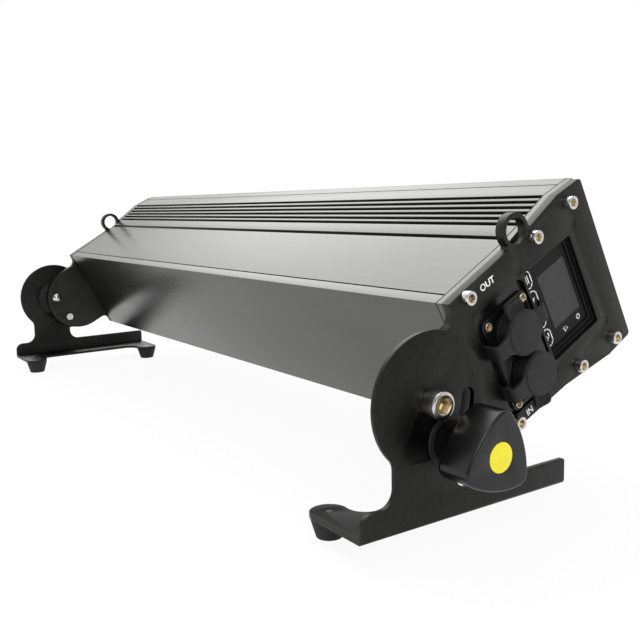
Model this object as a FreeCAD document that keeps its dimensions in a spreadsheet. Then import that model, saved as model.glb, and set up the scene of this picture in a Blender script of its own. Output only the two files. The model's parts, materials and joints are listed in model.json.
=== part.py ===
import FreeCAD, Part
import math
import os
import Sketcher

# Outdoor wall washer light: a black lamp bar on two floor brackets, with a
# pivot bolt and a clamp knob at each end. Millimetres and degrees, +Z up.
# The origin lies on the floor, at the middle of the light's length and depth.
# Parts of the lamp bar are drawn level, with the pivot axis as their X axis,
# the light going along +Y, and are then tilted and lifted as one.

doc = FreeCAD.newDocument("WallWasherLight")

SIZES = {
    # stance
    "barLength": 680,
    "pivotHeight": 82,
    "tiltRest": 28,
    "tiltLow": 5,
    "tiltHigh": 90,
    "discClear": 13,
    "pivotRise": 13.5,
    # profile of the lamp bar, by depth behind the light face
    "pocketBackMargin": 11,
    "shoulderDepth": 23.5,
    "waistDepth": 69,
    "panelSideRoom": 8.1,
    "backIn": 3,
    "waistIn": 7.5,
    "shoulderOut": 0.8,
    "backWall": 3,
    "sideWall": 3,
    "finSlotCount": 6,
    "finSlotAfter": 1.3,
    "finSlotPitch": 5.27,
    "finSlotWidth": 3.2,
    "finSlotDeep": 4.6,
    "bandGrooveAhead": 4.8,
    "bandGrooveWidth": 3.4,
    "bandGrooveDeep": 2,
    "backGrooveInset": 8,
    "backGrooveWidth": 1.2,
    "backGrooveDeep": 0.8,
    "seamDepth": 9,
    "seamWidth": 0.8,
    "seamDeep": 0.5,
    "cutBeyond": 3,
    "glassBorder": 5.7,
    "glassInset": 1.5,
    "glassThick": 4,
    "glassGap": 0.3,
    "sealThick": 1.5,
    "sealWidth": 4,
    "lampWall": 8.7,
    "boardSeat": 34.6,
    "webThick": 7.4,
    "portHalf": 4,
    # end layers and their screws
    "plateThick": 6,
    "collarThick": 4,
    "gasketThick": 1,
    "earHalf": 37.3,
    "earAhead": 22.8,
    "earFillet": 7,
    "ringAhead": 4.5,
    "ringProud": 6.3,
    "ringHoleRadius": 8,
    "ringWall": 2.8,
    "ringBlend": 2,
    "screwFrontDepth": 17,
    "screwFrontInset": 8.2,
    "screwMiddleAhead": 11,
    "screwMiddleInset": 4.4,
    "screwBackInset": 13,
    "screwBackSide": 3.8,
    "screwRadius": 2.5,
    "screwHeadRadius": 4.25,
    "screwHeadHeight": 5,
    "screwLength": 20,
    "screwTipRoom": 1,
    "screwKey": 4,
    "screwKeyDeep": 2.5,
    # display
    "windowFront": 24.5,
    "windowLong": 46,
    "windowHalf": 32,
    "windowLedge": 3,
    "windowCorner": 1.5,
    "paneInset": 2.5,
    "paneThick": 2,
    "paneGap": 0.15,
    "lcdThick": 2.2,
    "lcdFrontInset": 6,
    "lcdBackInset": 14.5,
    "lcdSideInset": 8,
    "touchBoardThick": 1.2,
    "markRadius": 3,
    "markDeep": 0.3,
    "markRise": 4.5,
    "markFront": 6,
    "markBack": 3,
    # connectors at both ends
    "pocketWeb": 2,
    "pocketTopRoom": 7.8,
    "pocketBottomRoom": 0.6,
    "pocketCorner": 6,
    "pocketDeep": 3,
    "panelThick": 2,
    "panelEnds": 35.1,
    "panelDrop": 8.35,
    "panelMargin": 1,
    "panelHalf": 20.2,
    "panelCorner": 4.4,
    "panelScrewEdge": 4.2,
    "panelScrewInset": 4.4,
    "panelScrewRadius": 1.5,
    "panelScrewHead": 2.9,
    "panelScrewHeadHeight": 1.6,
    "panelScrewLength": 4.5,
    "socketRadius": 11,
    "socketHeight": 9,
    "socketBore": 8,
    "socketBoreDeep": 1.5,
    "socketTail": 10,
    "socketTailLength": 22,
    "socketGap": 0.3,
    "contactRadius": 0.9,
    "contactCircle": 4.2,
    "contactDeep": 5,
    "capWall": 2.2,
    "capRoom": 0.9,
    "capTop": 2.2,
    "capGap": 0.3,
    "capApart": 3,
    "capTabWidth": 11,
    "capTabReach": 8,
    "capTabThick": 3,
    "strapWidth": 7,
    "strapThick": 1.8,
    "strapLoop": 10.5,
    "strapRoom": 1.3,
    "strapOffset": 5,
    # lamp inside
    "boardThick": 1.6,
    "boardSideRoom": 5,
    "boardEndRoom": 14,
    "ledCount": 12,
    "chipOffset": 22,
    "chipWidth": 5,
    "chipThick": 1.2,
    "lensRadius": 18,
    "lensFoot": 7,
    "lensPlateThick": 2,
    "lensGap": 0.3,
    "supplyHalf": 34,
    "supplyDeep": 46,
    "supplyInset": 45,
    "supplySpacing": 40,
    "trayThick": 2,
    "trayEndRoom": 49,
    "traySideRoom": 1.2,
    "controlLength": 130,
    "controlHalf": 33,
    "controlInset": 15,
    "standoffRadius": 3,
    "standoffHeight": 8,
    "standoffInset": 6,
    # pivot and clamp
    "headRoom": 0.4,
    "washerApart": 1.4,
    "runGap": 0.1,
    "boreGap": 0.1,
    "pivotRadius": 5,
    "pivotHeadRadius": 8,
    "pivotHeadHeight": 10,
    "pivotKey": 8,
    "pivotKeyDeep": 5,
    "pivotBeyond": 1.6,
    "studReach": 27,
    "studRadius": 4,
    "studSpacer": 5.6,
    "studBeyond": 6,
    "studGrip": 14,
    "knobHubRadius": 12.5,
    "knobHubTop": 10.5,
    "knobHubHeight": 19,
    "knobHeight": 20,
    "knobLobe": 18,
    "knobLobeRadius": 7,
    "knobSideReach": 18.5,
    "knobRim": 1.6,
    "knobBackRim": 4,
    "knobTurn": 73,
    "inlayRadius": 8.3,
    "inlayThick": 1.2,
    # floor brackets
    "bracketThick": 3,
    "discRadius": 40,
    "railHeight": 16.5,
    "railFlat": 5.1,
    "railBack": 111,
    "railCorner": 8,
    "railEndCorner": 2,
    "neckFront": 26.4,
    "neckBack": 17,
    "neckFootRadius": 10,
    "neckHeadRadius": 8,
    "slotWidth": 9.6,
    "bendRadius": 2.4,
    "padRadius": 11.5,
    "padReach": 46,
    "flangeReach": 30,
    "flangeBlend": 12,
    "footHeight": 12,
    "padRim": 0.2,
    "footTaper": 3.5,
    "footBoreRadius": 4.6,
    "footBoreDeep": 5,
    "footScrewRadius": 2,
    "footScrewHead": 3.8,
    "footScrewHeadHeight": 2.6,
}

# Sizes that follow from the ones above.
FITS = {
    "windowBack": "windowFront + windowLong",
    "lcdFront": "windowFront + lcdFrontInset",
    "lcdBack": "windowBack - lcdBackInset",
    "lcdHalf": "windowHalf - lcdSideInset",
    "capRadius": "socketRadius + capGap + capWall",
    "capHeight": "socketHeight - strapThick - capGap + capRoom + capTop",
    "socketSpacing": "2 * capRadius + capApart",
    "strapReach": "capRadius + strapLoop",
    "pocketFront": "windowBack + pocketWeb",
    "panelCentreDepth": "pocketFront + panelMargin + panelHalf",
    "panelScrewHalf": "panelHalf - panelScrewEdge",
    "pocketBack": "panelCentreDepth + strapReach + strapRoom",
    "panelTop": "(socketSpacing + panelEnds) / 2 - panelDrop",
    "panelBottom": "(socketSpacing + panelEnds) / 2 + panelDrop",
    "pocketTop": "panelTop + pocketTopRoom",
    "pocketBottom": "panelBottom + pocketBottomRoom",
    "profileDepth": "pocketBack + pocketBackMargin",
    "backHalf": "panelBottom + panelSideRoom",
    "waistHalf": "backHalf + backIn",
    "shoulderHalf": "waistHalf + waistIn",
    "faceHalf": "shoulderHalf - shoulderOut",
    "finSlotStart": "shoulderDepth + finSlotAfter",
    "bandGrooveDepth": "waistDepth - bandGrooveAhead",
    "backGrooveDepth": "profileDepth - backGrooveInset",
    "glassHalf": "faceHalf - glassBorder",
    "sealHalf": "glassHalf - sealWidth",
    "lampHalf": "faceHalf - lampWall",
    "boardHalf": "lampHalf - boardSideRoom",
    "faceReach": "pocketBack + discClear + discRadius",
    "earCentreDepth": "faceReach - earAhead",
    "ringDepth": "waistDepth - ringAhead",
    "ringRise": "waistHalf + ringProud",
    "ringOuterRadius": "ringHoleRadius + ringWall",
    "screwFrontHalf": "faceHalf - screwFrontInset",
    "screwMiddleDepth": "ringDepth - screwMiddleAhead",
    "screwMiddleHalf": "waistHalf - screwMiddleInset",
    "screwBackDepth": "profileDepth - screwBackInset",
    "screwBackHalf": "backHalf - screwBackSide",
    "endLayers": "plateThick + collarThick + gasketThick",
    "boardLength": "barLength - 2 * (endLayers + boardEndRoom)",
    "ledPitch": "boardLength / ledCount",
    "trayLength": "barLength - 2 * (endLayers + trayEndRoom)",
    "trayHalf": "screwBackHalf - portHalf - traySideRoom",
    "supplyLength": "trayLength - supplyInset - controlInset - controlLength - supplySpacing",
    "supplyShift": "(trayLength - supplyLength) / 2 - supplyInset",
    "controlShift": "(trayLength - controlLength) / 2 - controlInset",
    "washerThick": "screwHeadHeight + headRoom",
    "washerRadius": "studReach - studSpacer - washerApart",
    "railFront": "neckFront + neckFootRadius + railCorner + railFlat",
    "footTopRadius": "padRadius - padRim",
    "footBottomRadius": "footTopRadius - footTaper",
}

SLACK = 0.01

sheet = doc.addObject("Spreadsheet::Sheet", "dims")
cells = [(name, str(value)) for name, value in SIZES.items()]
cells += [(name, "=" + formula) for name, formula in FITS.items()]
for row, (name, content) in enumerate(cells, start=1):
    sheet.set("A%d" % row, name)
    sheet.setAlias("B%d" % row, name)
    sheet.set("B%d" % row, content)
doc.recompute()


class Size:
    """A length that keeps its number and its spreadsheet formula together."""

    def __init__(self, number, text):
        self.number = float(number)
        self.text = text

    def __add__(self, other):
        other = as_size(other)
        return Size(self.number + other.number, "(%s + %s)" % (self.text, other.text))

    def __sub__(self, other):
        other = as_size(other)
        return Size(self.number - other.number, "(%s - %s)" % (self.text, other.text))

    def __mul__(self, other):
        other = as_size(other)
        return Size(self.number * other.number, "(%s * %s)" % (self.text, other.text))

    def __truediv__(self, other):
        other = as_size(other)
        return Size(self.number / other.number, "(%s / %s)" % (self.text, other.text))

    def __radd__(self, other):
        return as_size(other) + self

    def __rsub__(self, other):
        return as_size(other) - self

    def __rmul__(self, other):
        return as_size(other) * self

    def __neg__(self):
        return Size(-self.number, "(-1 * %s)" % self.text)


def as_size(value):
    return value if isinstance(value, Size) else Size(value, repr(value))


def root(size):
    return Size(math.sqrt(size.number), "sqrt(%s)" % size.text)


def sine(size):
    return Size(math.sin(math.radians(size.number)), "sin(%s)" % size.text)


def cosine(size):
    return Size(math.cos(math.radians(size.number)), "cos(%s)" % size.text)


class Dims:
    """Reads a size by its name."""

    def __getattr__(self, name):
        return Size(sheet.get(name), "dims." + name)


dim = Dims()


def bind(thing, prop, size):
    thing.setExpression(prop, as_size(size).text)


# ---- drawing ------------------------------------------------------------

# The pivot axis stands this far along Y, so that the origin is the middle of
# the light's whole depth, from the brackets' front ends to the light face.
pivotPlace = (dim.railFront - dim.faceReach * cosine(dim.tiltRest)
              - (dim.faceHalf + dim.pivotRise) * sine(dim.tiltRest)) / 2


def new_body(label, tilted):
    part = doc.addObject("PartDesign::Body", label)
    part.Label = label
    rise = dim.pivotHeight if tilted else as_size(0)
    turn = dim.tiltRest if tilted else as_size(0)
    part.Placement = FreeCAD.Placement(
        FreeCAD.Vector(0, pivotPlace.number, rise.number),
        FreeCAD.Rotation(FreeCAD.Vector(1, 0, 0), turn.number))
    bind(part, "Placement.Base.y", pivotPlace)
    bind(part, "Placement.Base.z", rise)
    if tilted:
        bind(part, "Placement.Rotation.Angle", turn)
    return part


def new_sketch(part, role, offset=0, across=0, up=0):
    plane = [item for item in part.Origin.OriginFeatures if item.Role == role][0]
    drawing = part.newObject("Sketcher::SketchObject", part.Label + "_sketch")
    drawing.AttachmentSupport = (plane, [""])
    drawing.MapMode = "FlatFace"
    place = [as_size(value) for value in (across, up, offset)]
    drawing.AttachmentOffset = FreeCAD.Placement(
        FreeCAD.Vector(*[value.number for value in place]), FreeCAD.Rotation())
    for axis, value in zip("xyz", place):
        bind(drawing, "AttachmentOffset.Base." + axis, value)
    return drawing


def fix_point(drawing, item, end, across, up):
    across, up = as_size(across), as_size(up)
    first = drawing.ConstraintCount
    drawing.addConstraint([
        Sketcher.Constraint("DistanceX", -1, 1, item, end, across.number),
        Sketcher.Constraint("DistanceY", -1, 1, item, end, up.number)])
    bind(drawing, "Constraints[%d]" % first, across)
    bind(drawing, "Constraints[%d]" % (first + 1), up)


def fix_radius(drawing, item, size):
    size = as_size(size)
    first = drawing.ConstraintCount
    drawing.addConstraint(Sketcher.Constraint("Radius", item, size.number))
    bind(drawing, "Constraints[%d]" % first, size)


def draw_circle(drawing, across, up, size):
    across, up, size = as_size(across), as_size(up), as_size(size)
    centre = FreeCAD.Vector(across.number, up.number, 0)
    item = drawing.addGeometry(Part.Circle(centre, FreeCAD.Vector(0, 0, 1), size.number))
    fix_point(drawing, item, 3, across, up)
    fix_radius(drawing, item, size)


def arc_between(start, finish, bend):
    """Short arc of the given radius; bend above zero turns to the left."""
    span = finish - start
    middle = (start + finish) * 0.5
    left = FreeCAD.Vector(-span.y, span.x, 0)
    left.normalize()
    rise = math.sqrt(max(bend * bend - span.Length ** 2 / 4, 0))
    centre = middle + left * math.copysign(rise, bend)
    angles = [math.atan2(p.y - centre.y, p.x - centre.x) for p in (start, finish)]
    if bend < 0:
        angles.reverse()
    circle = Part.Circle(centre, FreeCAD.Vector(0, 0, 1), abs(bend))
    if angles[1] < angles[0]:
        angles[1] += 2 * math.pi
    return Part.ArcOfCircle(circle, angles[0], angles[1])


def draw_outline(drawing, corners):
    """Closed outline of (across, up) corners; a third value is the radius of
    the arc that leads to the corner, above zero where it turns to the left."""
    points = [FreeCAD.Vector(as_size(c[0]).number, as_size(c[1]).number, 0) for c in corners]
    items = []
    for index, corner in enumerate(corners):
        start, finish = points[index - 1], points[index]
        if len(corner) == 3:
            bend = as_size(corner[2])
            item = drawing.addGeometry(arc_between(start, finish, bend.number))
            ends = (1, 2) if bend.number > 0 else (2, 1)
            items.append((item, ends, bend if bend.number > 0 else -bend))
        else:
            item = drawing.addGeometry(Part.LineSegment(start, finish))
            items.append((item, (1, 2), None))
    for index, (item, ends, bend) in enumerate(items):
        follower = items[(index + 1) % len(items)]
        drawing.addConstraint(Sketcher.Constraint(
            "Coincident", item, ends[1], follower[0], follower[1][0]))
        fix_point(drawing, item, ends[1], corners[index][0], corners[index][1])
        if bend is not None:
            fix_radius(drawing, item, bend)


def draw_box(drawing, left, right, bottom, top, corner=None):
    left, right, bottom, top = [as_size(v) for v in (left, right, bottom, top)]
    if corner is None:
        draw_outline(drawing, [(left, bottom), (right, bottom), (right, top), (left, top)])
        return
    draw_outline(drawing, [
        (right - corner, bottom), (right, bottom + corner, corner),
        (right, top - corner), (right - corner, top, corner),
        (left + corner, top), (left, top - corner, corner),
        (left, bottom + corner), (left + corner, bottom, corner)])


def draw_hexagon(drawing, across, up, flats):
    reach = as_size(flats) / root(as_size(3))
    corners = []
    for turn in range(0, 360, 60):
        angle = as_size(turn)
        corners.append((across + reach * cosine(angle), up + reach * sine(angle)))
    draw_outline(drawing, corners)


def pad(part, drawing, length, back=False, both=False):
    feature = part.newObject("PartDesign::Pad", part.Label + "_pad")
    feature.Profile = drawing
    feature.SideType = "Symmetric" if both else "One side"
    feature.Length = as_size(length).number
    bind(feature, "Length", length)
    feature.Reversed = back
    return feature


def pocket(part, drawing, length=None, back=False):
    feature = part.newObject("PartDesign::Pocket", part.Label + "_pocket")
    feature.Profile = drawing
    if length is None:
        feature.SideType = "Symmetric"
        feature.Type = "ThroughAll"
    else:
        feature.Length = as_size(length).number
        bind(feature, "Length", length)
    feature.Reversed = back
    return feature


def revolve(part, drawing, axis, cut=False):
    kind = "PartDesign::Groove" if cut else "PartDesign::Revolution"
    feature = part.newObject(kind, part.Label + "_turned")
    feature.Profile = drawing
    feature.ReferenceAxis = (drawing, [axis])
    feature.Angle = 360
    return feature


def repeat(part, feature, drawing, axis, extent, count):
    pattern = part.newObject("PartDesign::LinearPattern", part.Label + "_pattern")
    pattern.Originals = [feature]
    pattern.Direction = (drawing, [axis])
    pattern.Length = as_size(extent).number
    bind(pattern, "Length", extent)
    pattern.Occurrences = int(as_size(count).number)
    bind(pattern, "Occurrences", count)
    part.Tip = pattern
    return pattern


def round_edges(part, radius, low, high, axis="X"):
    """Fillet of every edge that lies whole between two heights along an axis."""
    doc.recompute()
    tip = part.Tip
    names = []
    for index, edge in enumerate(tip.Shape.Edges, start=1):
        box = edge.BoundBox
        span = (getattr(box, axis + "Min"), getattr(box, axis + "Max"))
        if low.number - SLACK <= span[0] and span[1] <= high.number + SLACK:
            names.append("Edge%d" % index)
    feature = part.newObject("PartDesign::Fillet", part.Label + "_round")
    feature.Base = (tip, names)
    feature.Radius = as_size(radius).number
    bind(feature, "Radius", radius)
    return feature


# ---- shared places ------------------------------------------------------

barHalf = dim.barLength / 2
profileHalf = barHalf - dim.endLayers
pocketFloor = barHalf - dim.pocketDeep
panelFace = pocketFloor + dim.panelThick
capBase = panelFace + dim.strapThick + dim.capGap
bracketInner = barHalf + dim.washerThick + dim.runGap
bracketOuter = bracketInner + dim.bracketThick
hardwareSeat = bracketOuter + dim.runGap
socketRises = [(dim.panelTop - dim.panelBottom + dim.socketSpacing) / 2,
               (dim.panelTop - dim.panelBottom - dim.socketSpacing) / 2]
footFront = dim.padRadius - dim.railFront
footBack = dim.railBack - dim.padRadius
footSpacing = footBack - footFront
chamberFront = dim.boardSeat + dim.webThick
chamberBack = dim.profileDepth - dim.backWall
slope = (dim.shoulderHalf - dim.waistHalf) / (dim.waistDepth - dim.shoulderDepth)
backSlope = (dim.waistHalf - dim.backHalf) / (dim.profileDepth - dim.waistDepth)
endScrews = [(depth, half * way) for way in (1, -1) for depth, half in (
    (dim.screwFrontDepth, dim.screwFrontHalf),
    (dim.screwMiddleDepth, dim.screwMiddleHalf),
    (dim.screwBackDepth, dim.screwBackHalf))]


def place(depth, rise):
    """Point of the lamp bar, by depth behind the light face and rise above
    the profile's centre line."""
    return dim.faceReach - depth, as_size(rise) - dim.pivotRise


def out(side, distance):
    return distance if side > 0 else -distance


def both_halves(upper):
    """Upper corners (depth, half), from the front to the back, and their mirror."""
    corners = [place(depth, half) for depth, half in upper]
    return corners + [place(depth, -half) for depth, half in reversed(upper)]


profile = [
    (as_size(0), dim.faceHalf),
    (dim.shoulderDepth, dim.shoulderHalf),
    (dim.waistDepth, dim.waistHalf),
    (dim.profileDepth, dim.backHalf)]


def chamber():
    """Rear chamber, stepped in round the ports of four end screws."""
    wall = dim.waistHalf - dim.sideWall
    tight = [(dim.screwMiddleDepth, dim.screwMiddleHalf), (dim.screwBackDepth, dim.screwBackHalf)]
    (middle, middleHalf), (back, backHalf) = tight
    port = dim.portHalf
    return [
        (chamberFront, middleHalf - port),
        (middle + port, middleHalf - port),
        (middle + port, wall),
        (dim.waistDepth, wall),
        (back - port, wall - (back - port - dim.waistDepth) * backSlope),
        (back - port, backHalf - port),
        (chamberBack, backHalf - port)]


# ---- lamp bar -----------------------------------------------------------

def make_profile():
    part = new_body("bar_profile", True)
    shape = new_sketch(part, "YZ_Plane")
    draw_outline(shape, both_halves(profile))
    pad(part, shape, profileHalf * 2, both=True)

    mouth = new_sketch(part, "YZ_Plane")
    seat = dim.glassInset + dim.glassThick + dim.sealThick
    port = dim.portHalf
    front, frontHalf = dim.screwFrontDepth, dim.screwFrontHalf
    draw_outline(mouth, both_halves([
        (-dim.cutBeyond, dim.glassHalf), (seat, dim.glassHalf), (seat, dim.sealHalf),
        (front - port, dim.sealHalf), (front - port, frontHalf - port),
        (front + port, frontHalf - port), (front + port, dim.lampHalf),
        (dim.boardSeat, dim.lampHalf)]))
    draw_outline(mouth, both_halves(chamber()))
    pocket(part, mouth)

    slots = new_sketch(part, "YZ_Plane")
    for way in (1, -1):
        for index in range(int(dim.finSlotCount.number)):
            depth = dim.finSlotStart + dim.finSlotPitch * index
            surface = dim.shoulderHalf - (depth - dim.shoulderDepth) * slope
            cut_slot(slots, depth, dim.finSlotWidth, surface, dim.finSlotDeep, way)
        surface = dim.shoulderHalf - (dim.bandGrooveDepth - dim.shoulderDepth) * slope
        cut_slot(slots, dim.bandGrooveDepth, dim.bandGrooveWidth, surface, dim.bandGrooveDeep, way)
        surface = dim.waistHalf - (dim.backGrooveDepth - dim.waistDepth) * backSlope
        cut_slot(slots, dim.backGrooveDepth, dim.backGrooveWidth, surface, dim.backGrooveDeep, way)
        cut_slot(slots, dim.seamDepth, dim.seamWidth, dim.faceHalf, dim.seamDeep, way)
    pocket(part, slots)

    for side in (1, -1):
        holes = new_sketch(part, "YZ_Plane", out(side, profileHalf))
        for depth, rise in endScrews:
            draw_circle(holes, *place(depth, rise), dim.screwRadius)
        pocket(part, holes, dim.screwLength - dim.endLayers + dim.screwTipRoom, back=side < 0)
    return part


def cut_slot(drawing, depth, width, surface, deep, way):
    """Groove across one side of the profile, sunk below its surface."""
    rises = [(surface - deep) * way, (surface + dim.cutBeyond) * way]
    if way < 0:
        rises.reverse()
    left, bottom = place(depth + width / 2, rises[0])
    right, top = place(depth - width / 2, rises[1])
    draw_box(drawing, left, right, bottom, top)


def make_end_plate(label, side, window):
    part = new_body(label, True)
    shape = new_sketch(part, "YZ_Plane", out(side, barHalf - dim.plateThick))
    ear, fillet = dim.earHalf, dim.earFillet
    upper = [place(depth, half) for depth, half in profile]
    lower = [place(depth, -half) for depth, half in reversed(profile)]
    draw_outline(shape, upper + [
        place(dim.profileDepth, ear + fillet),
        (*place(dim.profileDepth + fillet, ear), -fillet),
        place(dim.earCentreDepth, ear),
        (*place(dim.earCentreDepth + ear, 0), ear),
        (*place(dim.earCentreDepth, -ear), ear),
        place(dim.profileDepth + fillet, -ear),
        (*place(dim.profileDepth, -ear - fillet), -fillet)] + lower)
    pad(part, shape, dim.plateThick, back=side < 0)

    lug = new_sketch(part, "YZ_Plane", out(side, barHalf - dim.plateThick))
    ring = place(dim.ringDepth, dim.ringRise)
    draw_circle(lug, *ring, dim.ringOuterRadius)
    pad(part, lug, dim.plateThick, back=side < 0)
    blend_ring(part, ring)

    holes = new_sketch(part, "YZ_Plane")
    draw_circle(holes, *ring, dim.ringHoleRadius)
    draw_circle(holes, 0, 0, dim.pivotRadius)
    draw_circle(holes, 0, -dim.studReach, dim.studRadius + dim.runGap)
    for depth, rise in endScrews:
        draw_circle(holes, *place(depth, rise), dim.screwRadius + dim.boreGap)
    for rise in socketRises:
        draw_circle(holes, *place(dim.panelCentreDepth, rise), dim.socketTail + dim.socketGap)
    for across, up in panel_screws():
        draw_circle(holes, across, up, dim.panelScrewRadius)
    if window:
        ledge = dim.windowLedge
        left, bottom = place(dim.windowBack - ledge, ledge - dim.windowHalf)
        right, top = place(dim.windowFront + ledge, dim.windowHalf - ledge)
        draw_box(holes, left, right, bottom, top)
    pocket(part, holes)

    recess = new_sketch(part, "YZ_Plane", out(side, barHalf))
    left, bottom = place(dim.pocketBack, -dim.pocketBottom)
    right, top = place(dim.pocketFront, dim.pocketTop)
    draw_box(recess, left, right, bottom, top, dim.pocketCorner)
    pocket(part, recess, dim.pocketDeep, back=side < 0)

    if window:
        frame = new_sketch(part, "YZ_Plane", out(side, barHalf))
        left, bottom = place(dim.windowBack, -dim.windowHalf)
        right, top = place(dim.windowFront, dim.windowHalf)
        draw_box(frame, left, right, bottom, top, dim.windowCorner)
        pocket(part, frame, dim.paneInset + dim.paneThick, back=side < 0)

        marks = new_sketch(part, "YZ_Plane", out(side, barHalf))
        for way in (1, -1):
            rise = (dim.windowHalf + dim.markRise) * way
            for depth in (dim.windowFront - dim.markFront, dim.windowBack + dim.markBack):
                draw_circle(marks, *place(depth, rise), dim.markRadius)
        pocket(part, marks, dim.markDeep, back=side < 0)
    return part


def blend_ring(part, ring):
    """Rounds the two inner corners where the eyelet grows out of the plate."""
    doc.recompute()
    plate = part.Tip
    names = []
    for index, edge in enumerate(plate.Shape.Edges, start=1):
        if abs(edge.BoundBox.XLength - edge.Length) > SLACK:
            continue
        end = edge.Vertexes[0].Point
        away = math.hypot(end.y - ring[0].number, end.z - ring[1].number)
        if abs(away - dim.ringOuterRadius.number) < SLACK:
            names.append("Edge%d" % index)
    blend = part.newObject("PartDesign::Fillet", part.Label + "_blend")
    blend.Base = (plate, names)
    blend.Radius = dim.ringBlend.number
    bind(blend, "Radius", dim.ringBlend)


def panel_screws():
    spots = []
    for way in (1, -1):
        depth = dim.panelCentreDepth + dim.panelScrewHalf * way
        for rise in (dim.panelTop - dim.panelScrewInset, dim.panelScrewInset - dim.panelBottom):
            spots.append(place(depth, rise))
    return spots


def make_collar(label, side, base, thick):
    """Layer between end plate and profile, open where the wires pass."""
    part = new_body(label, True)
    shape = new_sketch(part, "YZ_Plane", out(side, base))
    draw_outline(shape, both_halves(profile))
    ledge = dim.windowLedge
    draw_outline(shape, both_halves([
        (dim.windowFront + ledge, dim.windowHalf - ledge),
        (chamberFront, dim.windowHalf - ledge)] + chamber()))
    for depth, rise in endScrews:
        draw_circle(shape, *place(depth, rise), dim.screwRadius + dim.boreGap)
    pad(part, shape, thick, back=side < 0)
    return part


def make_end_screws(label, side):
    part = new_body(label, True)
    heads = new_sketch(part, "YZ_Plane", out(side, barHalf))
    shanks = new_sketch(part, "YZ_Plane", out(side, barHalf))
    keys = new_sketch(part, "YZ_Plane", out(side, barHalf + dim.screwHeadHeight))
    for depth, rise in endScrews:
        draw_circle(heads, *place(depth, rise), dim.screwHeadRadius)
        draw_circle(shanks, *place(depth, rise), dim.screwRadius)
        draw_hexagon(keys, *place(depth, rise), dim.screwKey)
    pad(part, heads, dim.screwHeadHeight, back=side < 0)
    pad(part, shanks, dim.screwLength, back=side > 0)
    pocket(part, keys, dim.screwKeyDeep, back=side < 0)
    return part


def flat_sketch(part, depth):
    """Drawing parallel to the light face, at a depth behind it."""
    return new_sketch(part, "XZ_Plane", as_size(depth) - dim.faceReach)


def make_sheet_part(label, depth, thick, halfLength, half, middle=0, opening=None):
    part = new_body(label, True)
    shape = flat_sketch(part, depth)
    middle = as_size(middle)
    low, high = -half - dim.pivotRise, half - dim.pivotRise
    draw_box(shape, middle - halfLength, middle + halfLength, low, high)
    if opening is not None:
        edge = half - opening
        draw_box(shape, middle - halfLength + edge, middle + halfLength - edge,
                 low + edge, high - edge)
    pad(part, shape, thick)
    return part


def make_lamp():
    glassEdge = dim.glassHalf - dim.glassGap
    glassLength = profileHalf - dim.glassGap
    make_sheet_part("front_glass", dim.glassInset, dim.glassThick, glassLength, glassEdge)
    make_sheet_part("glass_seal", dim.glassInset + dim.glassThick, dim.sealThick,
                    glassLength, glassEdge, opening=dim.sealHalf)
    boardDepth = dim.boardSeat - dim.boardThick
    make_sheet_part("led_board", boardDepth, dim.boardThick, dim.boardLength / 2, dim.boardHalf)

    leds = new_body("led_chips", True)
    chipDepth = boardDepth - dim.chipThick
    shape = flat_sketch(leds, chipDepth)
    first = -(dim.ledPitch * (dim.ledCount - 1)) / 2
    for way in (1, -1):
        rise = dim.chipOffset * way - dim.pivotRise
        half = dim.chipWidth / 2
        draw_box(shape, first - half, first + half, rise - half, rise + half)
    chip = pad(leds, shape, dim.chipThick)
    repeat(leds, chip, shape, "H_Axis", dim.ledPitch * (dim.ledCount - 1), dim.ledCount)

    lenses = make_sheet_part("lens_plate", chipDepth - dim.lensGap - lens_height() - dim.lensPlateThick,
                             dim.lensPlateThick, dim.boardLength / 2, dim.boardHalf)
    for way in (1, -1):
        cone = new_sketch(lenses, "XY_Plane", dim.chipOffset * way - dim.pivotRise)
        tip = dim.faceReach - (chipDepth - dim.lensGap)
        top = tip + lens_height()
        draw_outline(cone, [(first, tip), (first + dim.lensFoot, tip),
                            (first + dim.lensRadius, top), (first, top)])
        lens = revolve(lenses, cone, "Edge1")
        repeat(lenses, lens, cone, "H_Axis", dim.ledPitch * (dim.ledCount - 1), dim.ledCount)


def lens_height():
    seat = dim.glassInset + dim.glassThick + dim.sealThick
    return dim.boardSeat - dim.boardThick - dim.chipThick - dim.lensGap - seat - dim.lensPlateThick * 2


def make_driver():
    trayDepth = chamberBack - dim.trayThick
    make_sheet_part("driver_tray", trayDepth, dim.trayThick, dim.trayLength / 2, dim.trayHalf)
    make_sheet_part("power_supply", trayDepth - dim.supplyDeep, dim.supplyDeep,
                    dim.supplyLength / 2, dim.supplyHalf, middle=-dim.supplyShift)
    boardDepth = trayDepth - dim.standoffHeight - dim.boardThick
    make_sheet_part("control_board", boardDepth, dim.boardThick,
                    dim.controlLength / 2, dim.controlHalf, middle=dim.controlShift)
    posts = new_body("board_standoffs", True)
    shape = flat_sketch(posts, trayDepth - dim.standoffHeight)
    for across in (1, -1):
        for way in (1, -1):
            draw_circle(shape, dim.controlShift + (dim.controlLength / 2 - dim.standoffInset) * across,
                        (dim.controlHalf - dim.standoffInset) * way - dim.pivotRise,
                        dim.standoffRadius)
    pad(posts, shape, dim.standoffHeight)


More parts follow.
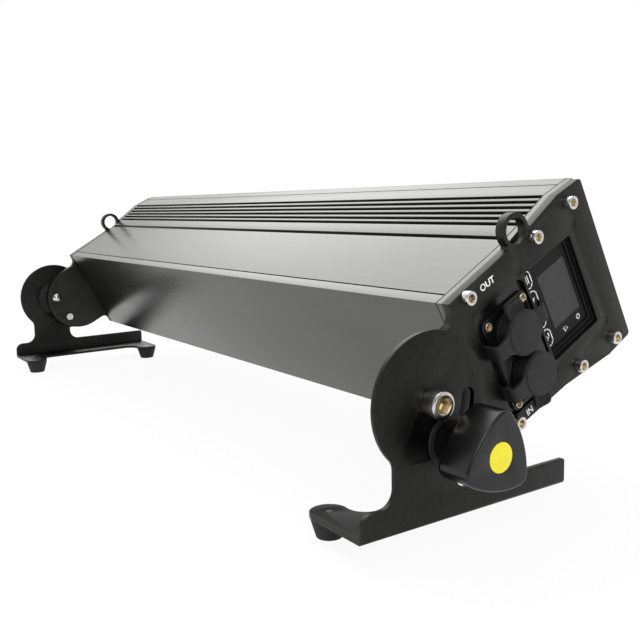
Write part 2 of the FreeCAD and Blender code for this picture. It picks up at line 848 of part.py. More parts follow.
def make_display():
    gap = dim.paneGap
    face = barHalf - dim.paneInset
    pane = new_body("display_window", True)
    shape = new_sketch(pane, "YZ_Plane", face)
    left, bottom = place(dim.windowBack - gap, gap - dim.windowHalf)
    right, top = place(dim.windowFront + gap, dim.windowHalf - gap)
    draw_box(shape, left, right, bottom, top, dim.windowCorner)
    pad(pane, shape, dim.paneThick, back=True)

    screen = new_body("lcd_panel", True)
    shape = new_sketch(screen, "YZ_Plane", face - dim.paneThick)
    left, bottom = place(dim.lcdBack, -dim.lcdHalf)
    right, top = place(dim.lcdFront, dim.lcdHalf)
    draw_box(shape, left, right, bottom, top)
    pad(screen, shape, dim.lcdThick, back=True)

    board = new_body("touch_board", True)
    shape = new_sketch(board, "YZ_Plane", face - dim.paneThick - dim.lcdThick)
    ledge = dim.windowLedge + gap
    left, bottom = place(dim.windowBack - ledge, ledge - dim.windowHalf)
    right, top = place(dim.windowFront + ledge, dim.windowHalf - ledge)
    draw_box(shape, left, right, bottom, top)
    pad(board, shape, dim.touchBoardThick, back=True)


# ---- connectors ---------------------------------------------------------

def make_panel(label, side):
    part = new_body(label, True)
    shape = new_sketch(part, "YZ_Plane", out(side, pocketFloor))
    left, bottom = place(dim.panelCentreDepth + dim.panelHalf, -dim.panelBottom)
    right, top = place(dim.panelCentreDepth - dim.panelHalf, dim.panelTop)
    draw_box(shape, left, right, bottom, top, dim.panelCorner)
    for rise in socketRises:
        draw_circle(shape, *place(dim.panelCentreDepth, rise), dim.socketTail + dim.socketGap)
    for across, up in panel_screws():
        draw_circle(shape, across, up, dim.panelScrewRadius)
    pad(part, shape, dim.panelThick, back=side < 0)
    return part


def make_panel_screws(label, side):
    part = new_body(label, True)
    heads = new_sketch(part, "YZ_Plane", out(side, panelFace))
    shanks = new_sketch(part, "YZ_Plane", out(side, panelFace))
    for across, up in panel_screws():
        draw_circle(heads, across, up, dim.panelScrewHead)
        draw_circle(shanks, across, up, dim.panelScrewRadius)
    pad(part, heads, dim.panelScrewHeadHeight, back=side < 0)
    pad(part, shanks, dim.panelScrewLength, back=side > 0)
    return part


def make_socket(label, side, rise):
    part = new_body(label, True)
    spot = place(dim.panelCentreDepth, rise)
    barrel = new_sketch(part, "YZ_Plane", out(side, panelFace))
    draw_circle(barrel, *spot, dim.socketRadius)
    pad(part, barrel, dim.socketHeight, back=side < 0)
    tail = new_sketch(part, "YZ_Plane", out(side, panelFace))
    draw_circle(tail, *spot, dim.socketTail)
    pad(part, tail, dim.socketTailLength, back=side > 0)
    bore = new_sketch(part, "YZ_Plane", out(side, panelFace + dim.socketHeight))
    draw_circle(bore, *spot, dim.socketBore)
    pocket(part, bore, dim.socketBoreDeep, back=side < 0)
    contacts = new_sketch(part, "YZ_Plane", out(side, panelFace + dim.socketHeight))
    for turn in (0, 90, 180):
        angle = as_size(turn)
        draw_circle(contacts, spot[0] + dim.contactCircle * cosine(angle),
                    spot[1] - dim.contactCircle * sine(angle), dim.contactRadius)
    pocket(part, contacts, dim.socketBoreDeep + dim.contactDeep, back=side < 0)
    return part


def make_cap(label, side, rise, tab_down):
    part = new_body(label, True)
    spot = place(dim.panelCentreDepth, rise)
    top = capBase + dim.capHeight
    crown = new_sketch(part, "YZ_Plane", out(side, capBase))
    draw_circle(crown, *spot, dim.capRadius)
    pad(part, crown, dim.capHeight, back=side < 0)
    tab = new_sketch(part, "YZ_Plane", out(side, top))
    half = dim.capTabWidth / 2
    reach = dim.capRadius + dim.capTabReach
    root_side = dim.capRadius / 2
    if tab_down:
        draw_box(tab, spot[0] - half, spot[0] + half, spot[1] - reach, spot[1] - root_side,
                 dim.capTabThick / 2)
    else:
        draw_box(tab, spot[0] + root_side, spot[0] + reach, spot[1] - half, spot[1] + half,
                 dim.capTabThick / 2)
    pad(part, tab, dim.capTabThick, back=side > 0)
    bore = new_sketch(part, "YZ_Plane", out(side, capBase))
    draw_circle(bore, *spot, dim.socketRadius + dim.capGap)
    pocket(part, bore, dim.capHeight - dim.capTop, back=side > 0)
    return part


def make_strap(label, side, rise):
    part = new_body(label, True)
    spot = place(dim.panelCentreDepth, rise)
    ring = new_sketch(part, "YZ_Plane", out(side, panelFace))
    draw_circle(ring, *spot, dim.capRadius)
    draw_circle(ring, *spot, dim.socketRadius + dim.capGap)
    pad(part, ring, dim.strapThick, back=side < 0)

    band = new_sketch(part, "XY_Plane", spot[1] - dim.strapOffset)
    thick = dim.strapThick
    bend = (dim.strapThick + dim.capGap + dim.capHeight - thick) / 2
    low, high = panelFace, panelFace + bend * 2
    far = spot[0] - dim.strapReach + bend
    near_ring = spot[0] - dim.socketRadius - dim.capGap - thick / 2
    near_cap = spot[0] - dim.capRadius - dim.capGap
    tips = [
        (low, near_ring), (low, far), (low + bend, far - bend, bend), (high, far, bend),
        (high, near_cap), (high - thick, near_cap), (high - thick, far),
        (low + bend, far - bend + thick, thick - bend), (low + thick, far, thick - bend),
        (low + thick, near_ring)]
    draw_outline(band, [turned(corner, side) for corner in tips])
    pad(part, band, dim.strapWidth, both=True)
    return part


def turned(corner, side):
    """The corner itself, or its mirror image at the other end of the bar."""
    return corner if side > 0 else (-corner[0], corner[1], *[-bend for bend in corner[2:]])


# ---- pivot and clamp ----------------------------------------------------

def make_pivot_washer(label, side):
    part = new_body(label, True)
    shape = new_sketch(part, "YZ_Plane", out(side, barHalf))
    draw_circle(shape, 0, 0, dim.washerRadius)
    draw_circle(shape, 0, 0, dim.pivotRadius + dim.boreGap)
    pad(part, shape, dim.washerThick, back=side < 0)
    return part


def make_clamp_spacer(label, side):
    part = new_body(label, True)
    shape = new_sketch(part, "YZ_Plane", out(side, barHalf))
    draw_circle(shape, 0, -dim.studReach, dim.studSpacer)
    draw_circle(shape, 0, -dim.studReach, dim.studRadius + dim.capGap)
    pad(part, shape, dim.washerThick, back=side < 0)
    return part


def make_pivot_bolt(label, side):
    part = new_body(label, True)
    head = new_sketch(part, "YZ_Plane", out(side, hardwareSeat))
    draw_circle(head, 0, 0, dim.pivotHeadRadius)
    pad(part, head, dim.pivotHeadHeight, back=side < 0)
    shank = new_sketch(part, "YZ_Plane", out(side, hardwareSeat))
    draw_circle(shank, 0, 0, dim.pivotRadius)
    pad(part, shank, hardwareSeat - barHalf + dim.plateThick + dim.pivotBeyond, back=side > 0)
    key = new_sketch(part, "YZ_Plane", out(side, hardwareSeat + dim.pivotHeadHeight))
    draw_hexagon(key, as_size(0), as_size(0), dim.pivotKey)
    pocket(part, key, dim.pivotKeyDeep, back=side < 0)
    return part


def make_knob(label, side):
    """Clamp knob. Each of its three lobes meets the wide arcs of its flanks
    where both have the same direction, so the grip's outline has no corner."""
    part = new_body(label, True)
    base, top = hardwareSeat, hardwareSeat + dim.knobHubHeight
    face = top + dim.knobHeight
    grip = new_sketch(part, "YZ_Plane", out(side, top))
    lobe, small = dim.knobLobe, dim.knobLobeRadius
    wanted = dim.knobSideReach - small
    back = (wanted * wanted - lobe * lobe) / (lobe - wanted * 2)
    big = back + dim.knobSideReach
    corners = []
    for turn in (0, 120, 240):
        angle = dim.knobTurn + turn
        centre = (lobe * cosine(angle), lobe * sine(angle))
        for way in (-1, 1):
            flank = angle + 60 * way
            across = centre[0] + (centre[0] + back * cosine(flank)) * small / (big - small)
            up = centre[1] + (centre[1] + back * sine(flank)) * small / (big - small)
            corners.append((across, up - dim.studReach, big if way < 0 else small))
    draw_outline(grip, corners)
    pad(part, grip, dim.knobHeight, back=side < 0)
    round_edges(part, dim.knobRim, out(side, face), out(side, face))
    round_edges(part, dim.knobBackRim, out(side, top), out(side, top))

    hub = new_sketch(part, "XY_Plane", -dim.studReach)
    deep = top + dim.knobBackRim
    shape = [(base, as_size(0)), (base, dim.knobHubRadius), (top, dim.knobHubTop),
             (deep, dim.knobHubTop), (deep, as_size(0))]
    draw_outline(hub, [turned(corner, side) for corner in shape])
    revolve(part, hub, "H_Axis")

    seat = new_sketch(part, "YZ_Plane", out(side, face))
    draw_circle(seat, 0, -dim.studReach, dim.inlayRadius)
    pocket(part, seat, dim.inlayThick, back=side < 0)
    bore = new_sketch(part, "YZ_Plane", out(side, hardwareSeat))
    draw_circle(bore, 0, -dim.studReach, dim.studRadius)
    pocket(part, bore, dim.studGrip, back=side > 0)
    return part


def make_inlay(label, side):
    part = new_body(label, True)
    face = hardwareSeat + dim.knobHubHeight + dim.knobHeight
    shape = new_sketch(part, "YZ_Plane", out(side, face))
    draw_circle(shape, 0, -dim.studReach, dim.inlayRadius)
    pad(part, shape, dim.inlayThick, back=side > 0)
    return part


def make_stud(label, side):
    part = new_body(label, True)
    shape = new_sketch(part, "YZ_Plane", out(side, hardwareSeat + dim.studGrip))
    draw_circle(shape, 0, -dim.studReach, dim.studRadius)
    length = hardwareSeat + dim.studGrip - barHalf + dim.plateThick + dim.studBeyond
    pad(part, shape, length, back=side > 0)
    return part


# ---- floor brackets -----------------------------------------------------

def neck(way, reach):
    """Corners of one side of the neck, from the rail up to the disc. The way
    is 1 towards the wall and -1 away from it."""
    rail = dim.footHeight + dim.railHeight
    foot, head, disc = dim.neckFootRadius, dim.neckHeadRadius, dim.discRadius
    drop = root((disc + head) * (disc + head) - (reach + head) * (reach + head))
    share = disc / (disc + head)
    return [
        ((reach + foot) * way, rail),
        (reach * way, rail + foot),
        (reach * way, dim.pivotHeight - drop),
        ((reach + head) * share * way, dim.pivotHeight - drop * share)]


def make_bracket(label, side):
    part = new_body(label, False)
    plate = new_sketch(part, "YZ_Plane", out(side, bracketInner))
    floor, top = dim.footHeight, dim.footHeight + dim.railHeight
    disc, centre = dim.discRadius, dim.pivotHeight
    foot, head = dim.neckFootRadius, dim.neckHeadRadius
    back, front = neck(1, dim.neckBack), neck(-1, dim.neckFront)
    small, corner = dim.railEndCorner, dim.railCorner
    draw_outline(plate, [
        (-dim.railFront, floor), (dim.railBack, floor), (dim.railBack, top - small),
        (dim.railBack - small, top, small), back[0], (*back[1], -foot), back[2],
        (*back[3], -head), (disc, centre, disc), (as_size(0), centre + disc, disc),
        (-disc, centre, disc), (*front[3], disc), (*front[2], -head), front[1],
        (*front[0], -foot), (corner - dim.railFront, top),
        (-dim.railFront, top - corner, corner)])
    draw_circle(plate, 0, centre, dim.pivotRadius + dim.boreGap)
    draw_slot(plate)
    pad(part, plate, dim.bracketThick, back=side < 0)

    flange = new_sketch(part, "XY_Plane", floor)
    reach, blend, radius = dim.padReach, dim.flangeBlend, dim.padRadius
    inner = dim.flangeReach + blend
    rise = root((radius + blend) * (radius + blend) - (reach - inner) * (reach - inner))
    share = radius / (radius + blend)
    touch = reach - (reach - inner) * share
    shape = [
        (as_size(0), -dim.railFront),
        (reach, -dim.railFront),
        (reach + radius, footFront, -radius),
        (touch, footFront + rise * share, -radius),
        (dim.flangeReach, footFront + rise, blend),
        (dim.flangeReach, footBack - rise),
        (touch, footBack - rise * share, blend),
        (reach + radius, footBack, -radius),
        (reach, dim.railBack, -radius),
        (as_size(0), dim.railBack)]
    draw_outline(flange, [
        (out(side, bracketOuter - c[0]), c[1], *[bend * side for bend in c[2:]]) for c in shape])
    for across in (footFront, footBack):
        draw_circle(flange, out(side, bracketOuter - reach), across, dim.footScrewRadius)
    pad(part, flange, dim.bracketThick)
    doc.recompute()

    flat = part.Tip
    names = [
        "Edge%d" % index for index, line in enumerate(flat.Shape.Edges, start=1)
        if line.BoundBox.XLength + line.BoundBox.ZLength < SLACK
        and abs(abs(line.BoundBox.XMin) - bracketOuter.number) < SLACK
        and abs(line.BoundBox.ZMin - floor.number) < SLACK]
    fold = part.newObject("PartDesign::Fillet", label + "_fold")
    fold.Base = (flat, names)
    fold.Radius = dim.bendRadius.number
    bind(fold, "Radius", dim.bendRadius)
    return part


def draw_slot(drawing):
    """Arc slot round the pivot that guides the clamp stud."""
    half = dim.slotWidth / 2
    reach = dim.studReach
    high, low = dim.tiltHigh, dim.tiltLow

    def spot(radius, tilt, along=0):
        return (radius * sine(tilt) + along * cosine(tilt),
                dim.pivotHeight - radius * cosine(tilt) + along * sine(tilt))

    draw_outline(drawing, [
        (*spot(reach + half, high), reach + half),
        (*spot(reach, high, half), half),
        (*spot(reach - half, high), half),
        (*spot(reach - half, low), half - reach),
        (*spot(reach, low, -half), half),
        (*spot(reach + half, low), half)])


def make_feet(label, side):
    part = new_body(label, False)
    turned_foot = new_sketch(part, "YZ_Plane", out(side, bracketOuter - dim.padReach), footFront)
    zero = as_size(0)
    tall, bore = dim.footHeight, dim.footBoreRadius
    draw_outline(turned_foot, [
        (dim.footScrewRadius, dim.footBoreDeep), (bore, dim.footBoreDeep), (bore, zero),
        (dim.footBottomRadius, zero), (dim.footTopRadius, tall), (dim.footScrewRadius, tall)])
    foot = revolve(part, turned_foot, "V_Axis")
    repeat(part, foot, turned_foot, "H_Axis", footSpacing, 2)
    return part


def make_foot_screws(label, side):
    part = new_body(label, False)
    shape = new_sketch(part, "YZ_Plane", out(side, bracketOuter - dim.padReach), footFront)
    zero = as_size(0)
    seat = dim.footBoreDeep
    low = seat - dim.footScrewHeadHeight
    high = dim.footHeight + dim.bracketThick
    draw_outline(shape, [
        (zero, low), (dim.footScrewHead, low), (dim.footScrewHead, seat),
        (dim.footScrewRadius, seat), (dim.footScrewRadius, high), (zero, high)])
    screw = revolve(part, shape, "V_Axis")
    repeat(part, screw, shape, "H_Axis", footSpacing, 2)
    return part


# ---- the whole light ----------------------------------------------------

make_profile()
make_lamp()
make_driver()
make_display()
for side, hand, roles in ((1, "right", ("dmx_out", "dmx_in")), (-1, "left", ("power_out", "power_in"))):
    gasketBase = profileHalf
    collarBase = profileHalf + dim.gasketThick
    make_end_plate("end_plate_" + hand, side, side > 0)
    make_collar("end_collar_" + hand, side, collarBase, dim.collarThick)
    make_collar("end_gasket_" + hand, side, gasketBase, dim.gasketThick)
    make_end_screws("end_screws_" + hand, side)
    make_panel("socket_panel_" + hand, side)
    make_panel_screws("panel_screws_" + hand, side)
    for rise, role in zip(socketRises, roles):
        make_socket("socket_" + role, side, rise)
        make_cap("cap_" + role, side, rise, rise.number < 0)
        make_strap("strap_" + role, side, rise)
    make_pivot_washer("pivot_washer_" + hand, side)
    make_clamp_spacer("clamp_spacer_" + hand, side)
    make_pivot_bolt("pivot_bolt_" + hand, side)
    make_knob("knob_" + hand, side)
    make_inlay("knob_inlay_" + hand, side)
    make_stud("clamp_stud_" + hand, side)
    make_bracket("bracket_" + hand, side)
    make_feet("feet_" + hand, side)
    make_foot_screws("foot_screws_" + hand, side)
doc.recompute()

for item in doc.Objects:
    if "Invalid" in item.State or "Error" in item.State:
        raise RuntimeError("%s is %s" % (item.Label, item.State))

os.makedirs("parts", exist_ok=True)
for item in doc.Objects:
    if item.TypeId == "PartDesign::Body":
        if item.Shape.isNull() or not item.Shape.isValid() or not item.Shape.Solids:
            raise RuntimeError("%s has no valid solid" % item.Label)
        item.Shape.exportStep("parts/" + item.Label + ".step")
        print("%s: %d solids, %.0f mm3" % (item.Label, len(item.Shape.Solids), item.Shape.Volume))
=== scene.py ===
import bmesh
import bpy
import json
import math
from mathutils import Matrix, Vector


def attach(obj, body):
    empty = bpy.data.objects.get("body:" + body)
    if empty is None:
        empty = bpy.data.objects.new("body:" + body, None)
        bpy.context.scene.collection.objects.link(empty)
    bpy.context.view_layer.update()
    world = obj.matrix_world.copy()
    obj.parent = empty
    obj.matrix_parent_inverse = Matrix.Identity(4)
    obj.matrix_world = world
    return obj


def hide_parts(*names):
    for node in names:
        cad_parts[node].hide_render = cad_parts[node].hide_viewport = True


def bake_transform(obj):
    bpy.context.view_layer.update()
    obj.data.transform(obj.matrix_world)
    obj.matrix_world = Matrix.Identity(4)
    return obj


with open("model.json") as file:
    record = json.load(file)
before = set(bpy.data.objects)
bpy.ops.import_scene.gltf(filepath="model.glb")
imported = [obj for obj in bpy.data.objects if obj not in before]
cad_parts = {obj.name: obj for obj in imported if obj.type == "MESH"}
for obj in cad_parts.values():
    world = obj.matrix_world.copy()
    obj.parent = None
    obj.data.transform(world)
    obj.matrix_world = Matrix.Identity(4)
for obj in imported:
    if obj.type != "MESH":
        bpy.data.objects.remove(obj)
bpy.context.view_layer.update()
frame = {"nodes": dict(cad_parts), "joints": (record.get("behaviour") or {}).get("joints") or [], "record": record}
nodes = frame["nodes"]
scene = bpy.context.scene

mm = 0.001
hands = {"right": 1, "left": -1}

# Lamp bar's own frame: x along the bar, v towards the light, u upwards, about the pivot axis.
lamp = {"tilt": 28, "reach": 172, "rise": 13.5, "stud": (172, -13.5)}
pivot = Vector([j for j in frame["joints"] if j["name"] == "tilt_right"][0]["pos_m"])
lampTurn = Matrix.Rotation(math.radians(lamp["tilt"]), 4, "X")
lampFrame = Matrix.Translation((0, pivot.y, pivot.z)) @ lampTurn


def lampPoint(x, depth, rise):
    # x outwards, depth behind the light face and rise above its centre line, all in millimetres
    return lampFrame @ Vector((x * mm, (lamp["reach"] - depth) * mm, (rise - lamp["rise"]) * mm))


class Value:
    # a socket that does sums by adding Math nodes
    def __init__(self, paint, socket):
        self.paint, self.socket = paint, socket

    def sum(self, operation, *others):
        values = dict(enumerate((self,) + others))
        return self.paint.add("ShaderNodeMath", {"operation": operation}, values)

    def __add__(self, other):
        return self.sum("ADD", other)

    def __sub__(self, other):
        return self.sum("SUBTRACT", other)

    def __mul__(self, other):
        return self.sum("MULTIPLY", other)

    def __rsub__(self, other):
        return self.paint.add("ShaderNodeMath", {"operation": "SUBTRACT"}, {0: other, 1: self})

    def __lt__(self, other):
        return self.sum("LESS_THAN", other)

    __radd__ = __add__
    __rmul__ = __mul__

    def size(self):
        return self.sum("ABSOLUTE")

    def other(self, output):
        # another output of the same node
        return Value(self.paint, self.socket.node.outputs[output])

    def step(self, low, high):
        # 0 below low, 1 above high, smooth between
        return self.paint.add("ShaderNodeMapRange", {"interpolation_type": "SMOOTHSTEP"},
                              {"Value": self, "From Min": low, "From Max": high})


class Paint:
    # one material, made of expressions
    def __init__(self, name, **fixed):
        self.material = bpy.data.materials.new(name)
        self.material.use_nodes = True
        self.tree = self.material.node_tree
        self.shader = self.tree.nodes["Principled BSDF"]
        self.place = self.add("ShaderNodeTexCoord", {}, {}, "Object")
        for key, value in fixed.items():
            self.shader.inputs[key.replace("_", " ")].default_value = value

    def add(self, kind, settings, values, output=0):
        node = self.tree.nodes.new(kind)
        for key, value in settings.items():
            setattr(node, key, value)
        for key, value in values.items():
            target = node.inputs[key]
            if isinstance(value, Value):
                self.tree.links.new(value.socket, target)
            else:
                target.default_value = value
        return Value(self, node.outputs[output])

    def noise(self, scale, detail=2, stretch=(1, 1, 1), turn=0, roughness=0.5):
        spot = self.mapped(stretch, turn)
        return self.add("ShaderNodeTexNoise", {}, {
            "Vector": spot, "Scale": scale, "Detail": detail, "Roughness": roughness}, "Fac")

    def mapped(self, stretch=(1, 1, 1), turn=0):
        return self.add("ShaderNodeMapping", {}, {
            "Vector": self.place, "Scale": stretch, "Rotation": (math.radians(turn), 0, 0)})

    def mix(self, factor, first, second):
        return self.add("ShaderNodeMix", {"data_type": "RGBA"}, {0: factor, 6: first, 7: second}, 2)

    def set(self, name, value):
        target = self.shader.inputs[name]
        if isinstance(value, Value):
            self.tree.links.new(value.socket, target)
        else:
            target.default_value = value

    def bump(self, height, strength, distance):
        self.set("Normal", self.add("ShaderNodeBump", {}, {
            "Height": height, "Strength": strength, "Distance": distance}, "Normal"))


def grey(level, tint=(1, 1, 1)):
    return (level * tint[0], level * tint[1], level * tint[2], 1)


def coatedMetal(name, look):
    # dark coat on metal: grain, soft clouds in the gloss and a little dust
    paint = Paint(name, Metallic=look["metallic"], IOR=look["ior"])
    clouds = paint.noise(look["cloud"], 3, look["cloudStretch"], lamp["tilt"])
    grain = paint.noise(look["grain"], 2)
    streaks = paint.noise(look["streak"], 2, (0.004, 1, 1), lamp["tilt"])
    tone = clouds * 0.5 + streaks * 0.3 + grain * 0.2
    paint.set("Base Color", paint.mix(tone.step(0.3, 0.7), look["dark"], look["light"]))
    gloss = look["rough"] + (clouds - 0.5) * look["roughSpread"] + (streaks - 0.5) * look["streakSpread"]
    paint.set("Roughness", gloss)
    paint.bump(grain * (1 - look["streakBump"]) + streaks * look["streakBump"],
               look["bump"], look["bumpDistance"])
    return paint.material


def rubber(name, look):
    paint = Paint(name, IOR=1.45)
    clouds = paint.noise(look["cloud"], 4)
    grain = paint.noise(look["grain"], 2)
    paint.set("Base Color", paint.mix(clouds.step(0.35, 0.75), look["dark"], look["light"]))
    paint.set("Roughness", look["rough"] + (clouds - 0.5) * 0.15)
    paint.bump(grain, look["bump"], look["bumpDistance"])
    return paint.material


def plastic(name, look):
    paint = Paint(name, IOR=look.get("ior", 1.5))
    clouds = paint.noise(look["cloud"], 4)
    grain = paint.noise(look["grain"], 2)
    paint.set("Base Color", paint.mix(clouds.step(0.3, 0.7), look["dark"], look["light"]))
    paint.set("Roughness", look["rough"] + (clouds - 0.5) * look["roughSpread"])
    paint.bump(grain, look["bump"], look["bumpDistance"])
    return paint.material


def brightSteel(name, look):
    # turned steel; the attribute "plating" marks brassy key sockets and "turning" the tool's path
    paint = Paint(name, Metallic=1)
    grain = paint.noise(500, 2)
    plating = paint.add("ShaderNodeAttribute", {"attribute_name": "plating"}, {}, "Fac")
    turning = paint.add("ShaderNodeAttribute", {"attribute_name": "turning"}, {}, "Fac")
    rings = (turning * look["rings"]).sum("SINE")
    bright = paint.mix(grain.step(0.3, 0.7), look["dark"], look["light"])
    paint.set("Base Color", paint.mix(plating, bright, look["brass"]))
    paint.set("Roughness", look["rough"] + rings * 0.03 + (grain - 0.5) * 0.12 + plating * 0.12)
    paint.bump(rings, 0.06, 0.00003)
    return paint.material


satin = (1, 1.01, 0.97)  # a faint green cast
coats = {
    "black_anodised": dict(metallic=1.0, ior=1.5, dark=grey(0.112, satin), light=grey(0.142, satin), cloud=14,
                           cloudStretch=(0.35, 1, 1), grain=1800, streak=900, rough=0.3, roughSpread=0.16,
                           streakSpread=0.1, streakBump=0.6, bump=0.12, bumpDistance=0.0001),
    "black_coated": dict(metallic=1.0, ior=1.5, dark=grey(0.031, satin), light=grey(0.042, satin), cloud=18,
                         cloudStretch=(1, 1, 1), grain=2600, streak=300, rough=0.42, roughSpread=0.1,
                         streakSpread=0.0, streakBump=0.0, bump=0.25, bumpDistance=0.0001),
    # lighter copy of the black coat for the right collar only: painted light
    "collar_black_painted_light": dict(metallic=1.0, ior=1.5, dark=grey(0.11, satin), light=grey(0.14, satin), cloud=18,
                         cloudStretch=(1, 1, 1), grain=2600, streak=300, rough=0.36, roughSpread=0.1,
                         streakSpread=0.0, streakBump=0.0, bump=0.2, bumpDistance=0.0001),
    "bracket_black": dict(metallic=1.0, ior=1.5, dark=grey(0.021, satin), light=grey(0.034, satin), cloud=12,
                          cloudStretch=(1, 1, 1), grain=2600, streak=300, rough=0.38, roughSpread=0.12,
                          streakSpread=0.0, streakBump=0.0, bump=0.22, bumpDistance=0.0001),
    "bare_aluminium": dict(metallic=1.0, ior=1.5, dark=grey(0.5), light=grey(0.66), cloud=20,
                           cloudStretch=(1, 1, 1), grain=900, streak=400, rough=0.36, roughSpread=0.1,
                           streakSpread=0.1, streakBump=0.7, bump=0.2, bumpDistance=0.0001),
}
rubbers = {
    "black_rubber": dict(dark=grey(0.012), light=grey(0.022), cloud=60, grain=1500, rough=0.72, bump=0.3,
                         bumpDistance=0.0002),
    "cap_rubber": dict(dark=grey(0.011), light=grey(0.021), cloud=70, grain=2400, rough=0.68, bump=0.25,
                       bumpDistance=0.0001),
}
plastics = {
    "black_gloss_plastic": dict(ior=1.42, dark=grey(0.003), light=grey(0.007), cloud=40, grain=1600,
                                rough=0.24, roughSpread=0.1, bump=0.08, bumpDistance=0.0001),
    "bezel_black": dict(ior=1.25, dark=grey(0.001), light=grey(0.002), cloud=40, grain=1600, rough=0.35,
                        roughSpread=0.1, bump=0.05, bumpDistance=0.0001),
    "black_nylon": dict(ior=1.35, dark=grey(0.012), light=grey(0.02), cloud=60, grain=1800, rough=0.5,
                        roughSpread=0.1, bump=0.2, bumpDistance=0.0001),
    "yellow_plastic": dict(dark=(0.84, 0.72, 0.012, 1), light=(0.9, 0.79, 0.02, 1), cloud=150, grain=2400,
                           rough=0.42, roughSpread=0.1, bump=0.1, bumpDistance=0.0001),
    "circuit_board": dict(dark=(0.008, 0.05, 0.02, 1), light=(0.015, 0.085, 0.035, 1), cloud=120, grain=900,
                          rough=0.35, roughSpread=0.1, bump=0.2, bumpDistance=0.0001),
    "led_chip": dict(dark=(0.75, 0.62, 0.2, 1), light=(0.9, 0.8, 0.35, 1), cloud=300, grain=2000,
                     rough=0.4, roughSpread=0.1, bump=0.2, bumpDistance=0.0001),
    "potting_grey": dict(dark=grey(0.06), light=grey(0.1), cloud=60, grain=900, rough=0.6,
                         roughSpread=0.2, bump=0.3, bumpDistance=0.0002),
    "lcd_glass": dict(dark=grey(0.05), light=grey(0.09), cloud=200, grain=2000, rough=0.2,
                      roughSpread=0.1, bump=0.05, bumpDistance=0.0001),
}
steelLook = {"dark": grey(0.6, (1, 0.98, 0.94)), "light": grey(0.74, (1, 0.98, 0.95)),
             "brass": (0.36, 0.27, 0.13, 1), "rough": 0.2, "rings": 26000}


def whitePrint(name, look):
    # screen-printed ink, a little broken where it has worn
    paint = Paint(name, IOR=1.5)
    wear = paint.noise(look["wear"], 3)
    paint.set("Base Color", paint.mix(wear.step(0.32, 0.5), look["worn"], look["fresh"]))
    paint.set("Roughness", 0.45 + wear * 0.2)
    return paint.material


printLook = {"wear": 700, "worn": grey(0.55), "fresh": grey(0.92)}


def clearPlastic(name, look):
    paint = Paint(name, IOR=look["ior"], Transmission_Weight=1.0)
    haze = paint.noise(look["cloud"], 3)
    paint.set("Base Color", paint.mix(haze.step(0.3, 0.7), look["dark"], look["light"]))
    paint.set("Roughness", look["rough"] + (haze - 0.5) * 0.03)
    return paint.material


def displayFilm(name, look):
    # black film over a fine dot grid, with the paler screen behind it
    paint = Paint(name, IOR=1.25)
    spot = paint.mapped((1, 1, 1), -lamp["tilt"])
    across = paint.add("ShaderNodeSeparateXYZ", {}, {"Vector": spot}, "Y")
    up = across.other("Z")
    centre = lampTurn.inverted() @ lampPoint(0, *look["middle"])
    width, height = [half * mm for half in look["half"]]
    onScreen = ((across - centre.y).size() < width) * ((up - centre.z).size() < height)
    weave = (across * look["weave"]).sum("SINE") * (up * look["weave"]).sum("SINE") * 0.5 + 0.5
    grain = paint.noise(look["grain"], 3, roughness=0.7)
    lines = (up * look["lines"] + grain * 3).sum("SINE") * 0.5 + 0.5
    film = paint.mix((grain * 0.5 + weave * 0.5).step(0.25, 0.75), look["dark"], look["light"])
    screen = paint.mix((grain * 0.7 + lines * 0.3).step(0.36, 0.66), look["screenDark"], look["screenLight"])
    paint.set("Base Color", paint.mix(onScreen, film, screen))
    paint.set("Roughness", 0.36 + grain * 0.15)
    paint.bump(weave, 0.25, 0.0001)
    return paint.material


filmLook = {"middle": (44.5, 2), "half": (13, 19), "weave": 4200, "lines": 5200, "grain": 1500,
            "dark": grey(0.001), "light": grey(0.01), "screenDark": grey(0.018), "screenLight": grey(0.085)}

finishes = {name: coatedMetal(name, look) for name, look in coats.items()}
finishes.update({name: rubber(name, look) for name, look in rubbers.items()})
finishes.update({name: plastic(name, look) for name, look in plastics.items()})
finishes["steel"] = brightSteel("steel", steelLook)
finishes["white_print"] = whitePrint("white_print", printLook)
finishes["display_film"] = displayFilm("display_film", filmLook)
finishes["clear_glass"] = clearPlastic("clear_glass", {
    "ior": 1.5, "cloud": 6, "dark": (0.9, 0.95, 0.94, 1), "light": (0.96, 0.98, 0.98, 1), "rough": 0.02})
finishes["clear_acrylic"] = clearPlastic("clear_acrylic", {
    "ior": 1.49, "cloud": 40, "dark": (0.93, 0.95, 0.97, 1), "light": (0.98, 0.99, 1, 1), "rough": 0.05})

slotOf = {part["node"]: part["material_slot"] for part in frame["record"]["subparts"]}
for name, item in nodes.items():
    item.data.materials.clear()
    item.data.materials.append(finishes[slotOf[name]])
print("finishes ready:", len(finishes))


# the knob turns freely and rests turned; between the two x of back lies the rim that reaches over the hub
knob = {"turn": -22, "back": (367, 372), "reach": 4}
bodyOf = {name: body for body, names in frame["record"]["behaviour"]["bodies"].items() for name in names}


def newPiece(name, mesh, body, slot, *replaced, finish=None):
    piece = bpy.data.objects.new(name, mesh)
    scene.collection.objects.link(piece)
    if not mesh.materials:
        mesh.materials.append(finishes[finish or slot])
    if body:
        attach(piece, body)
    if replaced:
        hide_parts(*replaced)
    return piece


def smoothen(mesh, angle=32):
    for face in mesh.polygons:
        face.use_smooth = True
    mesh.set_sharp_from_angle(angle=math.radians(angle))


def toMesh(shape, name, angle=32):
    mesh = bpy.data.meshes.new(name)
    shape.to_mesh(mesh)
    shape.free()
    smoothen(mesh, angle)
    return mesh


